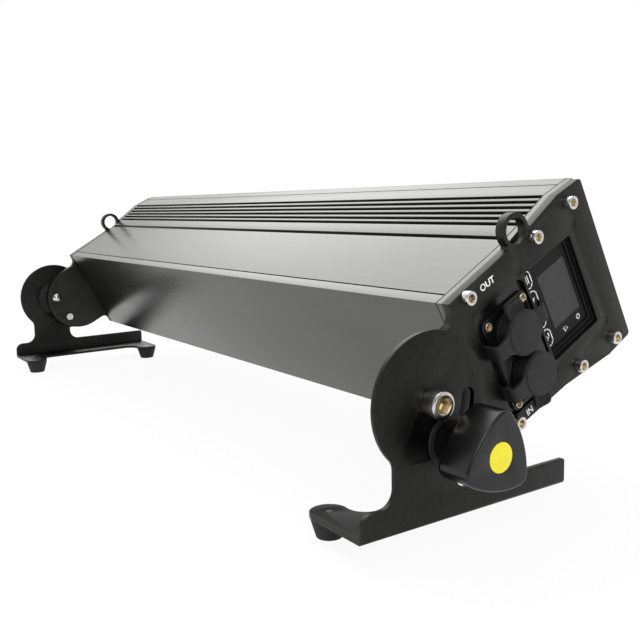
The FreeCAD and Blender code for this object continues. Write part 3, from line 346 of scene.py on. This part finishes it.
def softEdges(node, width, corner=0, turn=0, reach=0, finish=None, sharp=30):
    # copy of a solid with its hard edges eased, so that they catch the light
    shape = bmesh.new()
    shape.from_mesh(nodes[node].data)
    bmesh.ops.remove_doubles(shape, verts=shape.verts, dist=1e-6)
    if reach:
        low, high = knob["back"]
        for vert in shape.verts:
            if low * mm < abs(vert.co.x) < high * mm:
                vert.co.x -= math.copysign(reach * mm, vert.co.x)
    if turn:
        bmesh.ops.rotate(shape, verts=shape.verts, cent=lampPoint(0, *lamp["stud"]),
                         matrix=Matrix.Rotation(math.radians(turn), 3, "X"))
    bmesh.ops.dissolve_limit(shape, angle_limit=math.radians(0.5), verts=shape.verts, edges=shape.edges)
    if corner:
        # the front corners of the plate, seen along the bar
        face = lampPoint(0, 0.5, 0).y, lampPoint(0, 0.5, 0).z
        normal = lampTurn.to_3x3() @ Vector((0, 1, 0))
        posts = [e for e in shape.edges if abs((e.verts[0].co - e.verts[1].co).normalized().x) > 0.99
                 and all((v.co - Vector((v.co.x, *face))).dot(normal) > 0 for v in e.verts)
                 and e.calc_face_angle(0) > math.radians(50)]
        bmesh.ops.bevel(shape, geom=posts, offset=corner * mm, segments=6, profile=0.5, affect="EDGES")
    hard = [e for e in shape.edges if e.is_manifold and e.calc_face_angle(0) > math.radians(sharp)]
    bmesh.ops.bevel(shape, geom=hard, offset=width * mm, segments=2, profile=0.6, affect="EDGES",
                    clamp_overlap=True)
    mesh = toMesh(shape, node + "_eased")
    return newPiece(node + "_eased", mesh, bodyOf[node], slotOf[node], node, finish=finish)


# the right collar gets the lighter copy of the coat as painted light; the left one keeps the plain black coat
collarPaintedLightFinish = {"right": "collar_black_painted_light", "left": "black_coated"}
softEdges("bar_profile", width=0.25)
for hand in hands:
    softEdges("end_plate_" + hand, width=0.4, corner=2.5)
    softEdges("end_collar_" + hand, width=0.3, finish=collarPaintedLightFinish[hand])
    softEdges("socket_panel_" + hand, width=0.35)
    softEdges("bracket_" + hand, width=0.4)
    softEdges("knob_" + hand, width=0.4, turn=knob["turn"], reach=knob["reach"])
    softEdges("knob_inlay_" + hand, width=0.25)
    softEdges("feet_" + hand, width=0.5)
print("edges eased")


def arc(centre, radius, first, last, count):
    # points on an arc, angles in degrees
    steps = [math.radians(first + (last - first) * i / count) for i in range(count + 1)]
    return [(centre[0] + radius * math.cos(a), centre[1] + radius * math.sin(a)) for a in steps]


def slab(shape, outline, low, high, side=1, ease=0, both=False):
    # closed prism on an outline of (depth, rise), from x low to x high, its outer rim eased
    lower, upper = [[shape.verts.new(lampPoint(side * x, *spot)) for spot in outline] for x in (low, high)]
    faces = [shape.faces.new(lower), shape.faces.new(upper)]
    count = len(outline)
    for i in range(count):
        j = (i + 1) % count
        faces.append(shape.faces.new((lower[i], lower[j], upper[j], upper[i])))
    bmesh.ops.recalc_face_normals(shape, faces=faces)
    if ease:
        rim = list(faces[1].edges) + (list(faces[0].edges) if both else [])
        bmesh.ops.bevel(shape, geom=rim, offset=ease * mm, segments=4, profile=0.5, affect="EDGES",
                        clamp_overlap=True)


def bandAcross(shape, path, thick, middle, half, side=1, ease=0.5):
    # flat band: a path of (depth, x) given a thickness on its inner side, as wide as 2 * half in rise
    inner = []
    for i, spot in enumerate(path):
        before, after = Vector(path[max(i - 1, 0)]), Vector(path[min(i + 1, len(path) - 1)])
        along = (after - before).normalized()
        inner.append((spot[0] + along.y * thick, spot[1] - along.x * thick))
    loop = list(path) + inner[::-1]
    near, far = [[shape.verts.new(lampPoint(side * x, depth, middle + offset)) for depth, x in loop]
                 for offset in (-half, half)]
    count, last = len(loop), len(path) - 1
    faces = []
    for i in range(count):
        j = (i + 1) % count
        faces.append(shape.faces.new((near[i], near[j], far[j], far[i])))
    for i in range(last):
        for ends in (near, far):
            faces.append(shape.faces.new((ends[i], ends[i + 1], ends[count - 2 - i], ends[count - 1 - i])))
    bmesh.ops.recalc_face_normals(shape, faces=faces)
    rim = [e for e in shape.edges if e.is_manifold and e.calc_face_angle(0) > math.radians(60)
           and all(v in near + far for v in e.verts)]
    bmesh.ops.bevel(shape, geom=rim, offset=ease * mm, segments=3, profile=0.5, affect="EDGES",
                    clamp_overlap=True)


def turnedRing(shape, profile, depth, rise, side=1, steps=72):
    # closed ring turned from a loop of (radius, x) about a line along the bar
    rows = [[shape.verts.new(lampPoint(side * x, *spot))
             for spot in arc((depth, rise), radius, 0, 360, steps)[:-1]]
            for radius, x in profile]
    faces = []
    for k in range(len(profile)):
        first, second = rows[k], rows[(k + 1) % len(profile)]
        for i in range(steps):
            j = (i + 1) % steps
            faces.append(shape.faces.new((first[i], first[j], second[j], second[i])))
    bmesh.ops.recalc_face_normals(shape, faces=faces)


def recess(kind, size, angle):
    # distance from the middle to the wall of a key socket, at an angle in degrees
    if kind == "hex":
        fold = math.radians((angle % 60) - 30)
        return size / 2 / math.cos(fold)
    fold = math.radians(min(angle % 90, 90 - angle % 90))
    arm = size * 0.2
    return size / 2 / math.cos(fold) if math.tan(fold) <= arm * 2 / size else arm / math.sin(fold)


def screwHead(look):
    # head standing on z = 0: turned outside, keyed socket inside; marks its plating and turning
    shape = bmesh.new()
    plating = shape.verts.layers.float.new("plating")
    turning = shape.verts.layers.float.new("turning")
    r, h, deep, rim = look["radius"], look["height"], look["deep"], look["rim"]
    keyed, key = look["kind"], look["key"]
    rings = [("round", r - 0.15, 0), ("round", r, 0.2), ("round", r, h - rim),
             ("round", r - rim * 0.3, h - rim * 0.3), ("round", r - rim, h), ("round", key * 0.72, h),
             (keyed, key, h - 0.25), (keyed, key, h - deep), (keyed, key * 0.2, h - deep - look["cone"])]
    rows = []
    for kind, size, level in rings:
        row = []
        for step in range(look["steps"]):
            angle = 360 * step / look["steps"]
            reach = size if kind == "round" else recess(kind, size, angle)
            turn = math.radians(angle)
            vert = shape.verts.new((reach * mm * math.cos(turn), reach * mm * math.sin(turn), level * mm))
            vert[plating] = look["tint"] if kind == "round" else 1.0
            vert[turning] = reach * mm + level * mm
            row.append(vert)
        rows.append(row)
    for first, second in zip(rows, rows[1:]):
        for i in range(look["steps"]):
            j = (i + 1) % look["steps"]
            shape.faces.new((first[i], first[j], second[j], second[i]))
    shape.faces.new(rows[-1])
    shape.faces.new(rows[0][::-1])
    mesh = toMesh(shape, look["name"])
    return bpy.data.objects.new(look["name"], mesh)


def copiesTree():
    # puts one copy of a piece on every point, aimed one way and spun about its own axis
    tree = bpy.data.node_groups.new("copies on points", "GeometryNodeTree")
    face = tree.interface
    face.new_socket("Geometry", in_out="INPUT", socket_type="NodeSocketGeometry")
    face.new_socket("Piece", in_out="INPUT", socket_type="NodeSocketObject")
    face.new_socket("Aim", in_out="INPUT", socket_type="NodeSocketVector")
    face.new_socket("Spin", in_out="INPUT", socket_type="NodeSocketFloat")
    face.new_socket("Size", in_out="INPUT", socket_type="NodeSocketFloat")
    face.new_socket("Seed", in_out="INPUT", socket_type="NodeSocketInt")
    face.new_socket("Finish", in_out="INPUT", socket_type="NodeSocketMaterial")
    face.new_socket("Geometry", in_out="OUTPUT", socket_type="NodeSocketGeometry")

    def add(kind, values, **settings):
        node = tree.nodes.new(kind)
        for key, value in settings.items():
            setattr(node, key, value)
        for key, value in values.items():
            if isinstance(value, bpy.types.NodeSocket):
                tree.links.new(value, node.inputs[key])
            else:
                node.inputs[key].default_value = value
        return node

    given = tree.nodes.new("NodeGroupInput").outputs
    piece = add("GeometryNodeObjectInfo", {"Object": given["Piece"]})
    points = add("GeometryNodeInstanceOnPoints", {
        "Points": given["Geometry"], "Instance": piece.outputs["Geometry"], "Rotation": given["Aim"],
        "Scale": given["Size"]})
    spin = add("FunctionNodeRandomValue", {3: given["Spin"], "Seed": given["Seed"]}, data_type="FLOAT")
    turn = add("ShaderNodeCombineXYZ", {"Z": spin.outputs[1]})
    spun = add("GeometryNodeRotateInstances", {
        "Instances": points.outputs["Instances"], "Rotation": turn.outputs[0]})
    real = add("GeometryNodeRealizeInstances", {"Geometry": spun.outputs["Instances"]})
    painted = add("GeometryNodeSetMaterial", {
        "Geometry": real.outputs["Geometry"], "Material": given["Finish"]})
    add("NodeGroupOutput", {0: painted.outputs["Geometry"]})
    return tree


copies = copiesTree()


def spread(name, piece, spots, aim, finish, spin=0.0, size=1.0, seed=1):
    # plain mesh of copies of a piece at the given places
    mesh = bpy.data.meshes.new(name + " places")
    mesh.from_pydata([tuple(spot) for spot in spots], [], [])
    holder = bpy.data.objects.new(name + " places", mesh)
    scene.collection.objects.link(holder)
    modifier = holder.modifiers.new("copies", "NODES")
    modifier.node_group = copies
    given = {"Piece": piece, "Aim": aim, "Spin": spin, "Size": size, "Seed": seed, "Finish": finishes[finish]}
    for item in copies.interface.items_tree:
        if item.in_out == "INPUT" and item.name in given:
            modifier[item.identifier] = given[item.name]
    graph = bpy.context.evaluated_depsgraph_get()
    graph.update()
    made = bpy.data.meshes.new_from_object(holder.evaluated_get(graph), depsgraph=graph)
    made.name = name
    holder.modifiers.remove(modifier)
    bpy.data.objects.remove(holder)
    smoothen(made)
    return made


def outwards(side):
    return (0.0, side * math.pi / 2, 0.0)


endScrew = {"name": "end screw head", "radius": 4.25, "height": 5, "rim": 0.7, "kind": "hex", "key": 4,
            "deep": 2.6, "cone": 0.5, "steps": 48, "tint": 0.0,
            "seat": 340, "places": ((17, 50.5), (53.5, 47.6), (117, 45.2))}
panelScrew = {"name": "panel screw head", "radius": 2.9, "height": 1.6, "rim": 0.8, "kind": "cross",
              "key": 3.6, "deep": 1.3, "cone": 0.2, "steps": 48, "tint": 0.6,
              "seat": 339, "middle": 93.7, "half": 16, "rises": (19.8, -36.5)}
pivotScrew = {"name": "pivot screw head", "radius": 8, "height": 10, "rim": 1.4, "kind": "hex", "key": 8,
              "deep": 5.2, "cone": 1.0, "steps": 72, "tint": 0.12, "seat": 348.6, "place": (172, 13.5)}
screwTurn = {"spin": 6.28, "seed": 7}
shankCut = 0.02  # below the seat of the head


def addScrews():
    heads = {look["name"]: screwHead(look) for look in (endScrew, panelScrew, pivotScrew)}
    for hand, side in hands.items():
        sets = {"end_screws_": (endScrew, [(d, s * r) for d, r in endScrew["places"] for s in (1, -1)]),
                "panel_screws_": (panelScrew, [(panelScrew["middle"] + s * panelScrew["half"], rise)
                                               for rise in panelScrew["rises"] for s in (1, -1)]),
                "pivot_bolt_": (pivotScrew, [pivotScrew["place"]])}
        for node, (look, spots) in sets.items():
            places = [lampPoint(side * look["seat"], *spot) for spot in spots]
            mesh = spread(node + "heads", heads[look["name"]], places, outwards(side), "steel", **screwTurn)
            # the shanks stay below the heads, cut from the solid
            shank = bmesh.new()
            shank.from_mesh(nodes[node + hand].data)
            bmesh.ops.remove_doubles(shank, verts=shank.verts, dist=1e-6)
            bmesh.ops.bisect_plane(shank, geom=list(shank.verts) + list(shank.edges) + list(shank.faces),
                                   plane_co=(side * (look["seat"] - shankCut) * mm, 0, 0),
                                   plane_no=(side, 0, 0), clear_outer=True)
            shank.from_mesh(mesh)
            whole = toMesh(shank, node + hand + "_turned")
            whole.materials.append(finishes["steel"])
            for face in whole.polygons:
                face.material_index = 0
            newPiece(node + hand + "_turned", whole, bodyOf[node + hand], "steel", node + hand)
    for item in heads.values():
        bpy.data.objects.remove(item)


addScrews()
print("screws placed")

cap = {"depth": 93.7, "rises": {"out": 6.65, "in": -23.35}, "radius": 14, "wall": 13.1, "bore": 11.3,
       "base": 341.1, "under": 348.1, "top": 350.3, "rim": 0.9, "strap": 5, "blend": 10, "flat": 21,
       "crown": 13.3, "crownTop": 351.1, "crownRim": 0.75,
       "tabReach": 21.3, "tabHalf": 6.8, "tabLow": 346.0, "tabHigh": 349.3, "tabRoot": 8, "tabCorner": 3,
       "tabRim": 0.7, "leans": {"out": 0, "in": 15}}
capPlaces = {"dmx_out": ("right", "out", 1), "dmx_in": ("right", "in", -1),
             "power_out": ("left", "out", 1), "power_in": ("left", "in", -1)}
strap = {"thick": 2.1, "top": 350.1, "lap": 2.5, "bend": 3.8, "foot": 337.2, "half": 4.85, "steps": 6,
         "ringLow": 339.0, "ringHigh": 340.8, "ringRim": 0.2}
gripBand = {"thick": 2.2, "half": 5.4, "rise": 1.6,
            "path": ((81, 344.6), (79.2, 346.2), (77, 347.6), (74.9, 347.9), (73, 347.0),
                     (71.6, 345.0), (71.2, 342.4))}
knurl = {"pitch": 1.9, "height": 0.6, "width": 1.6, "margin": 0.9, "sunk": 0.1, "point": 0.35}
corners = ((1, 0), (0, 1), (-1, 0), (0, -1))


def capOutline(middle):
    # round cap that draws out into its strap, towards the back of the bar
    reach = cap["radius"] + cap["blend"]
    side = cap["strap"] + cap["blend"]
    along = math.sqrt(reach ** 2 - side ** 2)
    turn = math.degrees(math.atan2(side, along))
    outline = [(cap["flat"], cap["strap"])]
    outline += arc((along, side), cap["blend"], -90, turn - 180, 8)
    outline += arc((0, 0), cap["radius"], turn, 360 - turn, 56)[1:-1]
    outline += arc((along, -side), cap["blend"], 180 - turn, 90, 8)
    outline += [(cap["flat"], -cap["strap"])]
    return [(cap["depth"] + a, middle + b) for a, b in outline]


def tabOutline(middle, way, slant):
    # grip tab that leaves the cap up (1) or down (-1), leaning to the back by a slant in degrees
    half, reach, root, corner = [cap[key] for key in ("tabHalf", "tabReach", "tabRoot", "tabCorner")]
    plain = [(-half, root), (-half, reach - corner - 1)]
    plain += arc((-half + corner, reach - corner), corner, 180, 90, 4)[1:]
    plain += arc((half - corner, reach - corner), corner, 90, 0, 4) + [(half, root)]
    lean = math.radians(-slant)
    turned = [(a * math.cos(lean) - b * math.sin(lean), a * math.sin(lean) + b * math.cos(lean))
              for a, b in plain]
    return [(cap["depth"] + a, middle + way * b) for a, b in turned]


def inside(spot, outline, margin):
    # is a spot inside a closed outline, clear of its edge
    hits, near = 0, 1e9
    for (a, b), (c, d) in zip(outline, outline[1:] + outline[:1]):
        if (b > spot[1]) != (d > spot[1]) and spot[0] < a + (spot[1] - b) * (c - a) / (d - b):
            hits += 1
        edge = Vector((c - a, d - b))
        share = max(0, min(1, Vector((spot[0] - a, spot[1] - b)).dot(edge) / max(edge.length_squared, 1e-9)))
        near = min(near, (Vector((a, b)) + edge * share - Vector(spot)).length)
    return hits % 2 == 1 and near > margin


def knurlSpots(outline):
    # staggered grid over an outline
    lows = [min(spot[i] for spot in outline) for i in (0, 1)]
    highs = [max(spot[i] for spot in outline) for i in (0, 1)]
    step = knurl["pitch"]
    spots = []
    for row in range(int((highs[1] - lows[1]) / step * 2) + 1):
        for column in range(int((highs[0] - lows[0]) / step) + 1):
            spot = (lows[0] + step * (column + row % 2 / 2), lows[1] + step * row / 2)
            if inside(spot, outline, knurl["margin"]):
                spots.append(spot)
    return spots


def diamond():
    shape = bmesh.new()
    half = knurl["width"] / 2 * mm
    point = half * knurl["point"]
    foot = [shape.verts.new((half * a, half * b, -knurl["sunk"] * mm)) for a, b in corners]
    top = [shape.verts.new((point * a, point * b, knurl["height"] * mm)) for a, b in corners]
    for i in range(4):
        j = (i + 1) % 4
        shape.faces.new((foot[i], foot[j], top[j], top[i]))
    shape.faces.new(top)
    shape.faces.new(foot[::-1])
    return bpy.data.objects.new("knurl diamond", toMesh(shape, "knurl diamond"))


def join(name, shape, extra, finish):
    shape.from_mesh(extra)
    mesh = toMesh(shape, name)
    mesh.materials.append(finishes[finish])
    for face in mesh.polygons:
        face.material_index = 0
    return mesh


tongue = {"low": 339, "high": 341.4, "ease": 0.5, "ribbedFrom": 107.5, "ribbedLean": 0.25,
          "outline": ((113.2, -0.5), (102.2, -6.2), (104.8, -10.5), (112.2, -20.5), (113.4, -19.5))}


def addCaps():
    grain = diamond()
    for role, (hand, place, way) in capPlaces.items():
        side = hands[hand]
        middle = cap["rises"][place]
        bore, wall, base, under = cap["bore"], cap["wall"], cap["base"], cap["under"]
        shape = bmesh.new()
        turnedRing(shape, [(bore, base), (wall - 0.3, base), (wall, base + 0.4), (wall + 0.2, under + 0.2),
                           (bore, under + 0.2)], cap["depth"], middle, side)
        slab(shape, capOutline(middle), under, cap["top"], side, cap["rim"])
        crown = arc((cap["depth"], middle), cap["crown"], 0, 360, 64)[:-1]
        slab(shape, crown, under, cap["crownTop"], side, cap["crownRim"])
        tab = tabOutline(middle, way, cap["leans"][place])
        slab(shape, tab, cap["tabLow"], cap["tabHigh"], side, cap["tabRim"], both=True)
        if place == "out":
            bandAcross(shape, gripBand["path"], gripBand["thick"], middle + gripBand["rise"],
                       gripBand["half"], side)
        spots = [lampPoint(side * cap["tabHigh"], *spot) for spot in knurlSpots(tab)]
        grip = spread("grip", grain, spots, outwards(side), "cap_rubber")
        node = "cap_" + role
        mesh = join(node + "_moulded", shape, grip, "cap_rubber")
        newPiece(node + "_moulded", mesh, node, "cap_rubber", node)
        addStrap(role, middle, side)
    for hand, side in hands.items():
        shape = bmesh.new()
        slab(shape, tongue["outline"], tongue["low"], tongue["high"], side, tongue["ease"])
        places = [lampPoint(side * tongue["high"], *spot) for spot in knurlSpots(list(tongue["outline"]))
                  if spot[0] < tongue["ribbedFrom"] - spot[1] * tongue["ribbedLean"]]
        grip = spread("tongue grip", grain, places, outwards(side), "cap_rubber")
        newPiece("strap_tongue_" + hand, join("strap_tongue_" + hand, shape, grip, "cap_rubber"),
                 "lamp_bar", "cap_rubber")
    bpy.data.objects.remove(grain)


def addStrap(role, middle, side):
    # stretches from the pocket, where it is held, to the cap that it keeps
    start = cap["depth"] + cap["flat"]
    bend = (start, strap["top"] - strap["bend"])
    path = [(start - strap["lap"], strap["top"])] + arc(bend, strap["bend"], 90, 0, 8)
    drop, steps = bend[1] - strap["foot"], strap["steps"]
    path += [(start + strap["bend"], strap["foot"] + drop * share / steps)
             for share in range(steps - 1, -1, -1)]
    shape = bmesh.new()
    bandAcross(shape, path, strap["thick"], middle, strap["half"], side)
    # ring that holds the strap round the foot of its socket
    low, high, rim, wall = strap["ringLow"], strap["ringHigh"], strap["ringRim"], cap["wall"]
    turnedRing(shape, [(cap["bore"], low), (wall, low), (wall, high - rim), (wall - rim, high),
                       (cap["bore"], high)], cap["depth"], middle, side)
    node = "strap_" + role
    piece = newPiece(node + "_moulded", toMesh(shape, node + "_moulded"), None, "cap_rubber", node)
    lampPoint(side * 339.5, cap["depth"], middle)
    lampPoint(side * 348, cap["depth"], middle)
    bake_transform(piece)


clampWasher = {"bore": 4.3, "radius": 15.6, "low": 348.55, "high": 349.6, "rim": 0.3}


def addClampWashers():
    # flat washer under the hub of each clamp knob, over the slot of the bracket
    for hand, side in hands.items():
        bore, radius, low, high, rim = [clampWasher[key] for key in ("bore", "radius", "low", "high", "rim")]
        shape = bmesh.new()
        turnedRing(shape, [(bore, low), (radius, low), (radius, high - rim), (radius - rim, high),
                           (bore, high)], *lamp["stud"], side)
        newPiece("clamp_washer_" + hand, toMesh(shape, "clamp_washer_" + hand), "clamp_" + hand,
                 "black_nylon")


addCaps()
addClampWashers()
print("caps and straps moulded")

window = {"depth": (24.6, 70.4), "half": 31.9, "corner": 1.5, "film": 335.8, "back": 335.5,
          "steps": ((0, 335.5), (0, 338.2), (0.45, 338.0), (0.5, 337.1), (0.95, 336.6), (1, 335.5)),
          "inset": {"front": 3.6, "back": 1.2, "top": 2.2, "bottom": 5.2}}


def roundedBox(depths, rises, corner, count=5):
    (a, b), (c, d) = depths, rises
    outline = arc((b - corner, d - corner), corner, 0, 90, count)
    outline += arc((a + corner, d - corner), corner, 90, 180, count)
    outline += arc((a + corner, c + corner), corner, 180, 270, count)
    outline += arc((b - corner, c + corner), corner, 270, 360, count)
    return outline


def frameRing(shape, rows, side=1):
    # closed frame of outlines with the same number of points, each at its own x
    rows = [[shape.verts.new(lampPoint(side * x, *spot)) for spot in outline] for outline, x in rows]
    count, faces = len(rows[0]), []
    for k in range(len(rows)):
        first, second = rows[k], rows[(k + 1) % len(rows)]
        for i in range(count):
            j = (i + 1) % count
            faces.append(shape.faces.new((first[i], first[j], second[j], second[i])))
    bmesh.ops.recalc_face_normals(shape, faces=faces)


def windowOutline(share):
    # opening in the plate (0) to edge of the film (1)
    inset = {key: value * share for key, value in window["inset"].items()}
    (front, back), half = window["depth"], window["half"]
    depths = front + inset["front"], back - inset["back"]
    rises = -half + inset["bottom"], half - inset["top"]
    return roundedBox(depths, rises, window["corner"])


def addWindow():
    shape = bmesh.new()
    frameRing(shape, [(windowOutline(share), x) for share, x in window["steps"]])
    newPiece("window_bezel", toMesh(shape, "window_bezel"), "lamp_bar", "black_gloss_plastic",
             finish="bezel_black")
    shape = bmesh.new()
    slab(shape, windowOutline(0.98), window["back"], window["film"])
    newPiece("window_film", toMesh(shape, "window_film"), "lamp_bar", "display_film", "display_window")


icons = {"line": 0.75, "film": 335.83, "thick": 0.03, "boxTops": (30.2, 16.0, 1.8, -12.4), "boxDeep": 11.6,
         "boxFront": 62.4, "boxBack": 68.4, "chamfer": 2.2, "thin": 0.7, "bold": 0.8,
         "menu": {"bars": (65.0, 66.6, 68.2), "half": 2.4},
         "down": ((64.9, 1.4), (68.5, 1.4), (66.7, -1.8)),
         "up": ((64.9, -1.4), (66.7, 1.8), (68.5, -1.4)),
         "enterHead": ((66.3, -2.2), (68.6, -0.2), (66.3, 1.8)),
         "enterTail": ((66.6, -0.2), (64.6, -0.2), (64.6, 2.6)),
         "square": ((34.4, -20.4), (36.8, -20.4), (36.8, -23.4), (34.4, -23.4), (34.4, -20.4)),
         "waves": {"middle": (49.8, -23.2), "radii": (1.2, 2.4), "angles": (60, 170)},
         "dot": {"middle": (49.9, -23.4), "radius": 0.6}}


def raised(points, rise):
    return [(depth, rise + offset) for depth, offset in points]


def printStroke(shape, points, width):
    # printed line along points of (depth, rise), with square ends
    low = icons["film"]
    for first, second in zip(points, points[1:]):
        a, b = Vector(first), Vector(second)
        along = (b - a).normalized() * width / 2
        across = Vector((-along.y, along.x))
        stroke = [a - along + across, b + along + across, b + along - across, a - along - across]
        slab(shape, [tuple(spot) for spot in stroke], low, low + icons["thick"])


def addIcons():
    # four outlined touch fields in a column, open to the back, with plain signs for menu, down, up and enter
    shape = bmesh.new()
    front, back, cut, line = icons["boxFront"], icons["boxBack"], icons["chamfer"], icons["line"]
    for top in icons["boxTops"]:
        low = top - icons["boxDeep"]
        printStroke(shape, [(back, top), (front + cut, top), (front, top - cut), (front, low + cut),
                            (front + cut, low), (back, low)], line)
    first, second, third, last = [top - icons["boxDeep"] / 2 for top in icons["boxTops"]]
    menu, waves, dot, thin, bold = [icons[key] for key in ("menu", "waves", "dot", "thin", "bold")]
    for spot in menu["bars"]:
        printStroke(shape, [(spot, first + menu["half"]), (spot, first - menu["half"])], thin)
    sign = icons["film"], icons["film"] + icons["thick"]
    slab(shape, raised(icons["down"], second), *sign)
    slab(shape, raised(icons["up"], third), *sign)
    slab(shape, raised(icons["enterHead"], last), *sign)
    printStroke(shape, raised(icons["enterTail"], last), bold)
    # a small square and two arcs show the state under the screen
    printStroke(shape, icons["square"], thin)
    for radius in waves["radii"]:
        printStroke(shape, arc(waves["middle"], radius, *waves["angles"], 5), bold)
    slab(shape, arc(dot["middle"], dot["radius"], 0, 360, 10)[:-1], *sign)
    newPiece("window_icons", toMesh(shape, "window_icons"), "lamp_bar", "display_film", finish="white_print")


labels = {"size": 5.8, "weight": 0.13, "face": 340.0, "thick": 0.04,
          "texts": (("OUT", 99, 41.3), ("IN", 104, -48.2))}


def addLabels():
    for hand, side in hands.items():
        whole = bmesh.new()
        for words, depth, rise in labels["texts"]:
            text = bpy.data.curves.new(words, "FONT")
            text.body, text.size, text.extrude = words, labels["size"] * mm, labels["thick"] / 2 * mm
            text.align_x, text.resolution_u, text.offset = "CENTER", 3, labels["weight"] * mm
            holder = bpy.data.objects.new(words, text)
            scene.collection.objects.link(holder)
            flat = bpy.data.meshes.new_from_object(holder)
            bpy.data.objects.remove(holder)
            forward = (lampPoint(0, 0, 0) - lampPoint(0, 1, 0)).normalized() * side
            upward = (lampPoint(0, 0, 1) - lampPoint(0, 0, 0)).normalized()
            turn = Matrix((forward, upward, Vector((side, 0, 0)))).transposed().to_4x4()
            spot = lampPoint(side * (labels["face"] + labels["thick"] / 2), depth, rise)
            flat.transform(Matrix.Translation(spot) @ turn)
            whole.from_mesh(flat)
        newPiece("labels_" + hand, toMesh(whole, "labels_" + hand), "lamp_bar", "black_coated",
                 finish="white_print")


# outline of the pocket, and the thin sheet of painted shade laid on its floor
pocket = {"depths": (72.6, 118.8), "rises": (-41.3, 31.8), "corner": 5.8, "floor": 337.02, "thick": 0.15}


def addPocketShadeSheets():
    # dark sheet that lines the floor of the pocket round the connector plate, painted shade for the shadow in the
    # pocket
    for hand, side in hands.items():
        shape = bmesh.new()
        slab(shape, roundedBox(pocket["depths"], pocket["rises"], pocket["corner"]), pocket["floor"],
             pocket["floor"] + pocket["thick"], side)
        newPiece("pocket_seal_" + hand, toMesh(shape, "pocket_seal_" + hand), "lamp_bar",
                 "black_gloss_plastic")


addWindow()
addIcons()
addLabels()
addPocketShadeSheets()
print("display and pocket dressed")


view = {"azimuth": 55.925, "elevation": 8.253, "roll": -1.351, "place": (0.6739, -0.2923, 0.1917),
        "lens": 45.931}
studio = {"around": 0.95, "room": 0.25, "roomEdge": (-0.1, 0.8), "glow": 2.9, "glowFrom": (-0.62, 0.15, 0.77),
          "glowEdge": (0.8, 1.0), "floorGlow": 0.93, "floorFade": (0.7, 1.6), "floorGloss": 0.8,
          "floorReach": 12, "floorGrey": 0.86, "floorDrop": 0.0002}
lamps = {"overhead": {"place": (0.2, 0.1, 1.9), "target": (0, 0.05, 0.1), "size": (2.2, 1.6),
                      "strength": 0.6},
         "key": {"place": (1.5, -0.5, 0.95), "target": (0.3, 0, 0.1), "size": (0.8, 0.8), "strength": 4.5}}


def addCamera():
    a, e, r = [math.radians(view[key]) for key in ("azimuth", "elevation", "roll")]
    back = Vector((math.sin(a) * math.cos(e), -math.cos(a) * math.cos(e), math.sin(e)))
    right = Vector((math.cos(a), math.sin(a), 0))
    up = back.cross(right)
    across = right * math.cos(r) + up * math.sin(r)
    upright = up * math.cos(r) - right * math.sin(r)
    data = bpy.data.cameras.new("camera")
    data.lens = view["lens"]
    data.sensor_width = 36
    data.clip_start = 0.01
    camera = bpy.data.objects.new("camera", data)
    turn = Matrix((across, upright, back)).transposed().to_4x4()
    spot = Vector(view["place"]) + Vector((0, pivot.y, 0))
    camera.matrix_world = Matrix.Translation(spot) @ turn
    scene.collection.objects.link(camera)
    scene.camera = camera
    return back


def addLamp(name, place, target, size, strength):
    data = bpy.data.lights.new(name, "AREA")
    data.shape = "RECTANGLE"
    data.size, data.size_y = size
    data.energy = strength * math.pi * size[0] * size[1]
    item = bpy.data.objects.new(name, data)
    item.location = place
    item.rotation_euler = (Vector(target) - Vector(place)).to_track_quat("-Z", "Y").to_euler()
    scene.collection.objects.link(item)


def addFloor():
    mesh = bpy.data.meshes.new("floor")
    reach = studio["floorReach"]
    mesh.from_pydata([(-reach, -reach, 0), (reach, -reach, 0), (reach, reach, 0), (-reach, reach, 0)], [],
                     [(0, 1, 2, 3)])
    floor = bpy.data.objects.new("floor", mesh)
    floor.location.z = -studio["floorDrop"]
    scene.collection.objects.link(floor)
    paint = Paint("floor", Roughness=0.8)
    paint.set("Base Color", grey(studio["floorGrey"]))
    light = paint.add("ShaderNodeEmission", {}, {"Color": (1, 1, 1, 1), "Strength": 1.0}, "Emission")
    path = paint.add("ShaderNodeLightPath", {}, {}, "Is Camera Ray")
    glossy = path.other("Is Glossy Ray")
    away = paint.add("ShaderNodeVectorMath", {"operation": "LENGTH"}, {0: paint.place}, "Value")
    level = studio["floorGlow"] + (1 - studio["floorGlow"]) * away.step(*studio["floorFade"])
    share = (path + glossy * studio["floorGloss"]) * level
    plain = Value(paint, paint.shader.outputs[0])
    both = paint.add("ShaderNodeMixShader", {}, {0: share, 1: plain, 2: light})
    out = paint.tree.nodes["Material Output"]
    paint.tree.links.new(both.socket, out.inputs["Surface"])
    mesh.materials.append(paint.material)


def addWorld(towards):
    # white all round, and darker behind the camera, where the room is
    world = bpy.data.worlds.new("world")
    world.use_nodes = True
    scene.world = world
    paint = Paint.__new__(Paint)
    paint.tree = world.node_tree
    background = world.node_tree.nodes["Background"]
    background.inputs["Color"].default_value = (1, 1, 1, 1)
    ray = paint.add("ShaderNodeTexCoord", {}, {}, "Generated")
    along, glow = [paint.add("ShaderNodeVectorMath", {"operation": "DOT_PRODUCT"},
                             {0: ray, 1: tuple(way)}, "Value")
                   for way in (towards, Vector(studio["glowFrom"]).normalized())]
    lit = studio["around"] + (studio["room"] - studio["around"]) * along.step(*studio["roomEdge"])
    lit = lit + studio["glow"] * glow.step(*studio["glowEdge"])
    path = paint.add("ShaderNodeLightPath", {}, {}, "Is Camera Ray")
    level = lit + (1 - lit) * path
    world.node_tree.links.new(level.socket, background.inputs["Strength"])


towards = addCamera()
addFloor()
addWorld(towards)
for name, look in lamps.items():
    addLamp(name, **look)
scene.view_settings.view_transform = "Standard"
print("studio ready")
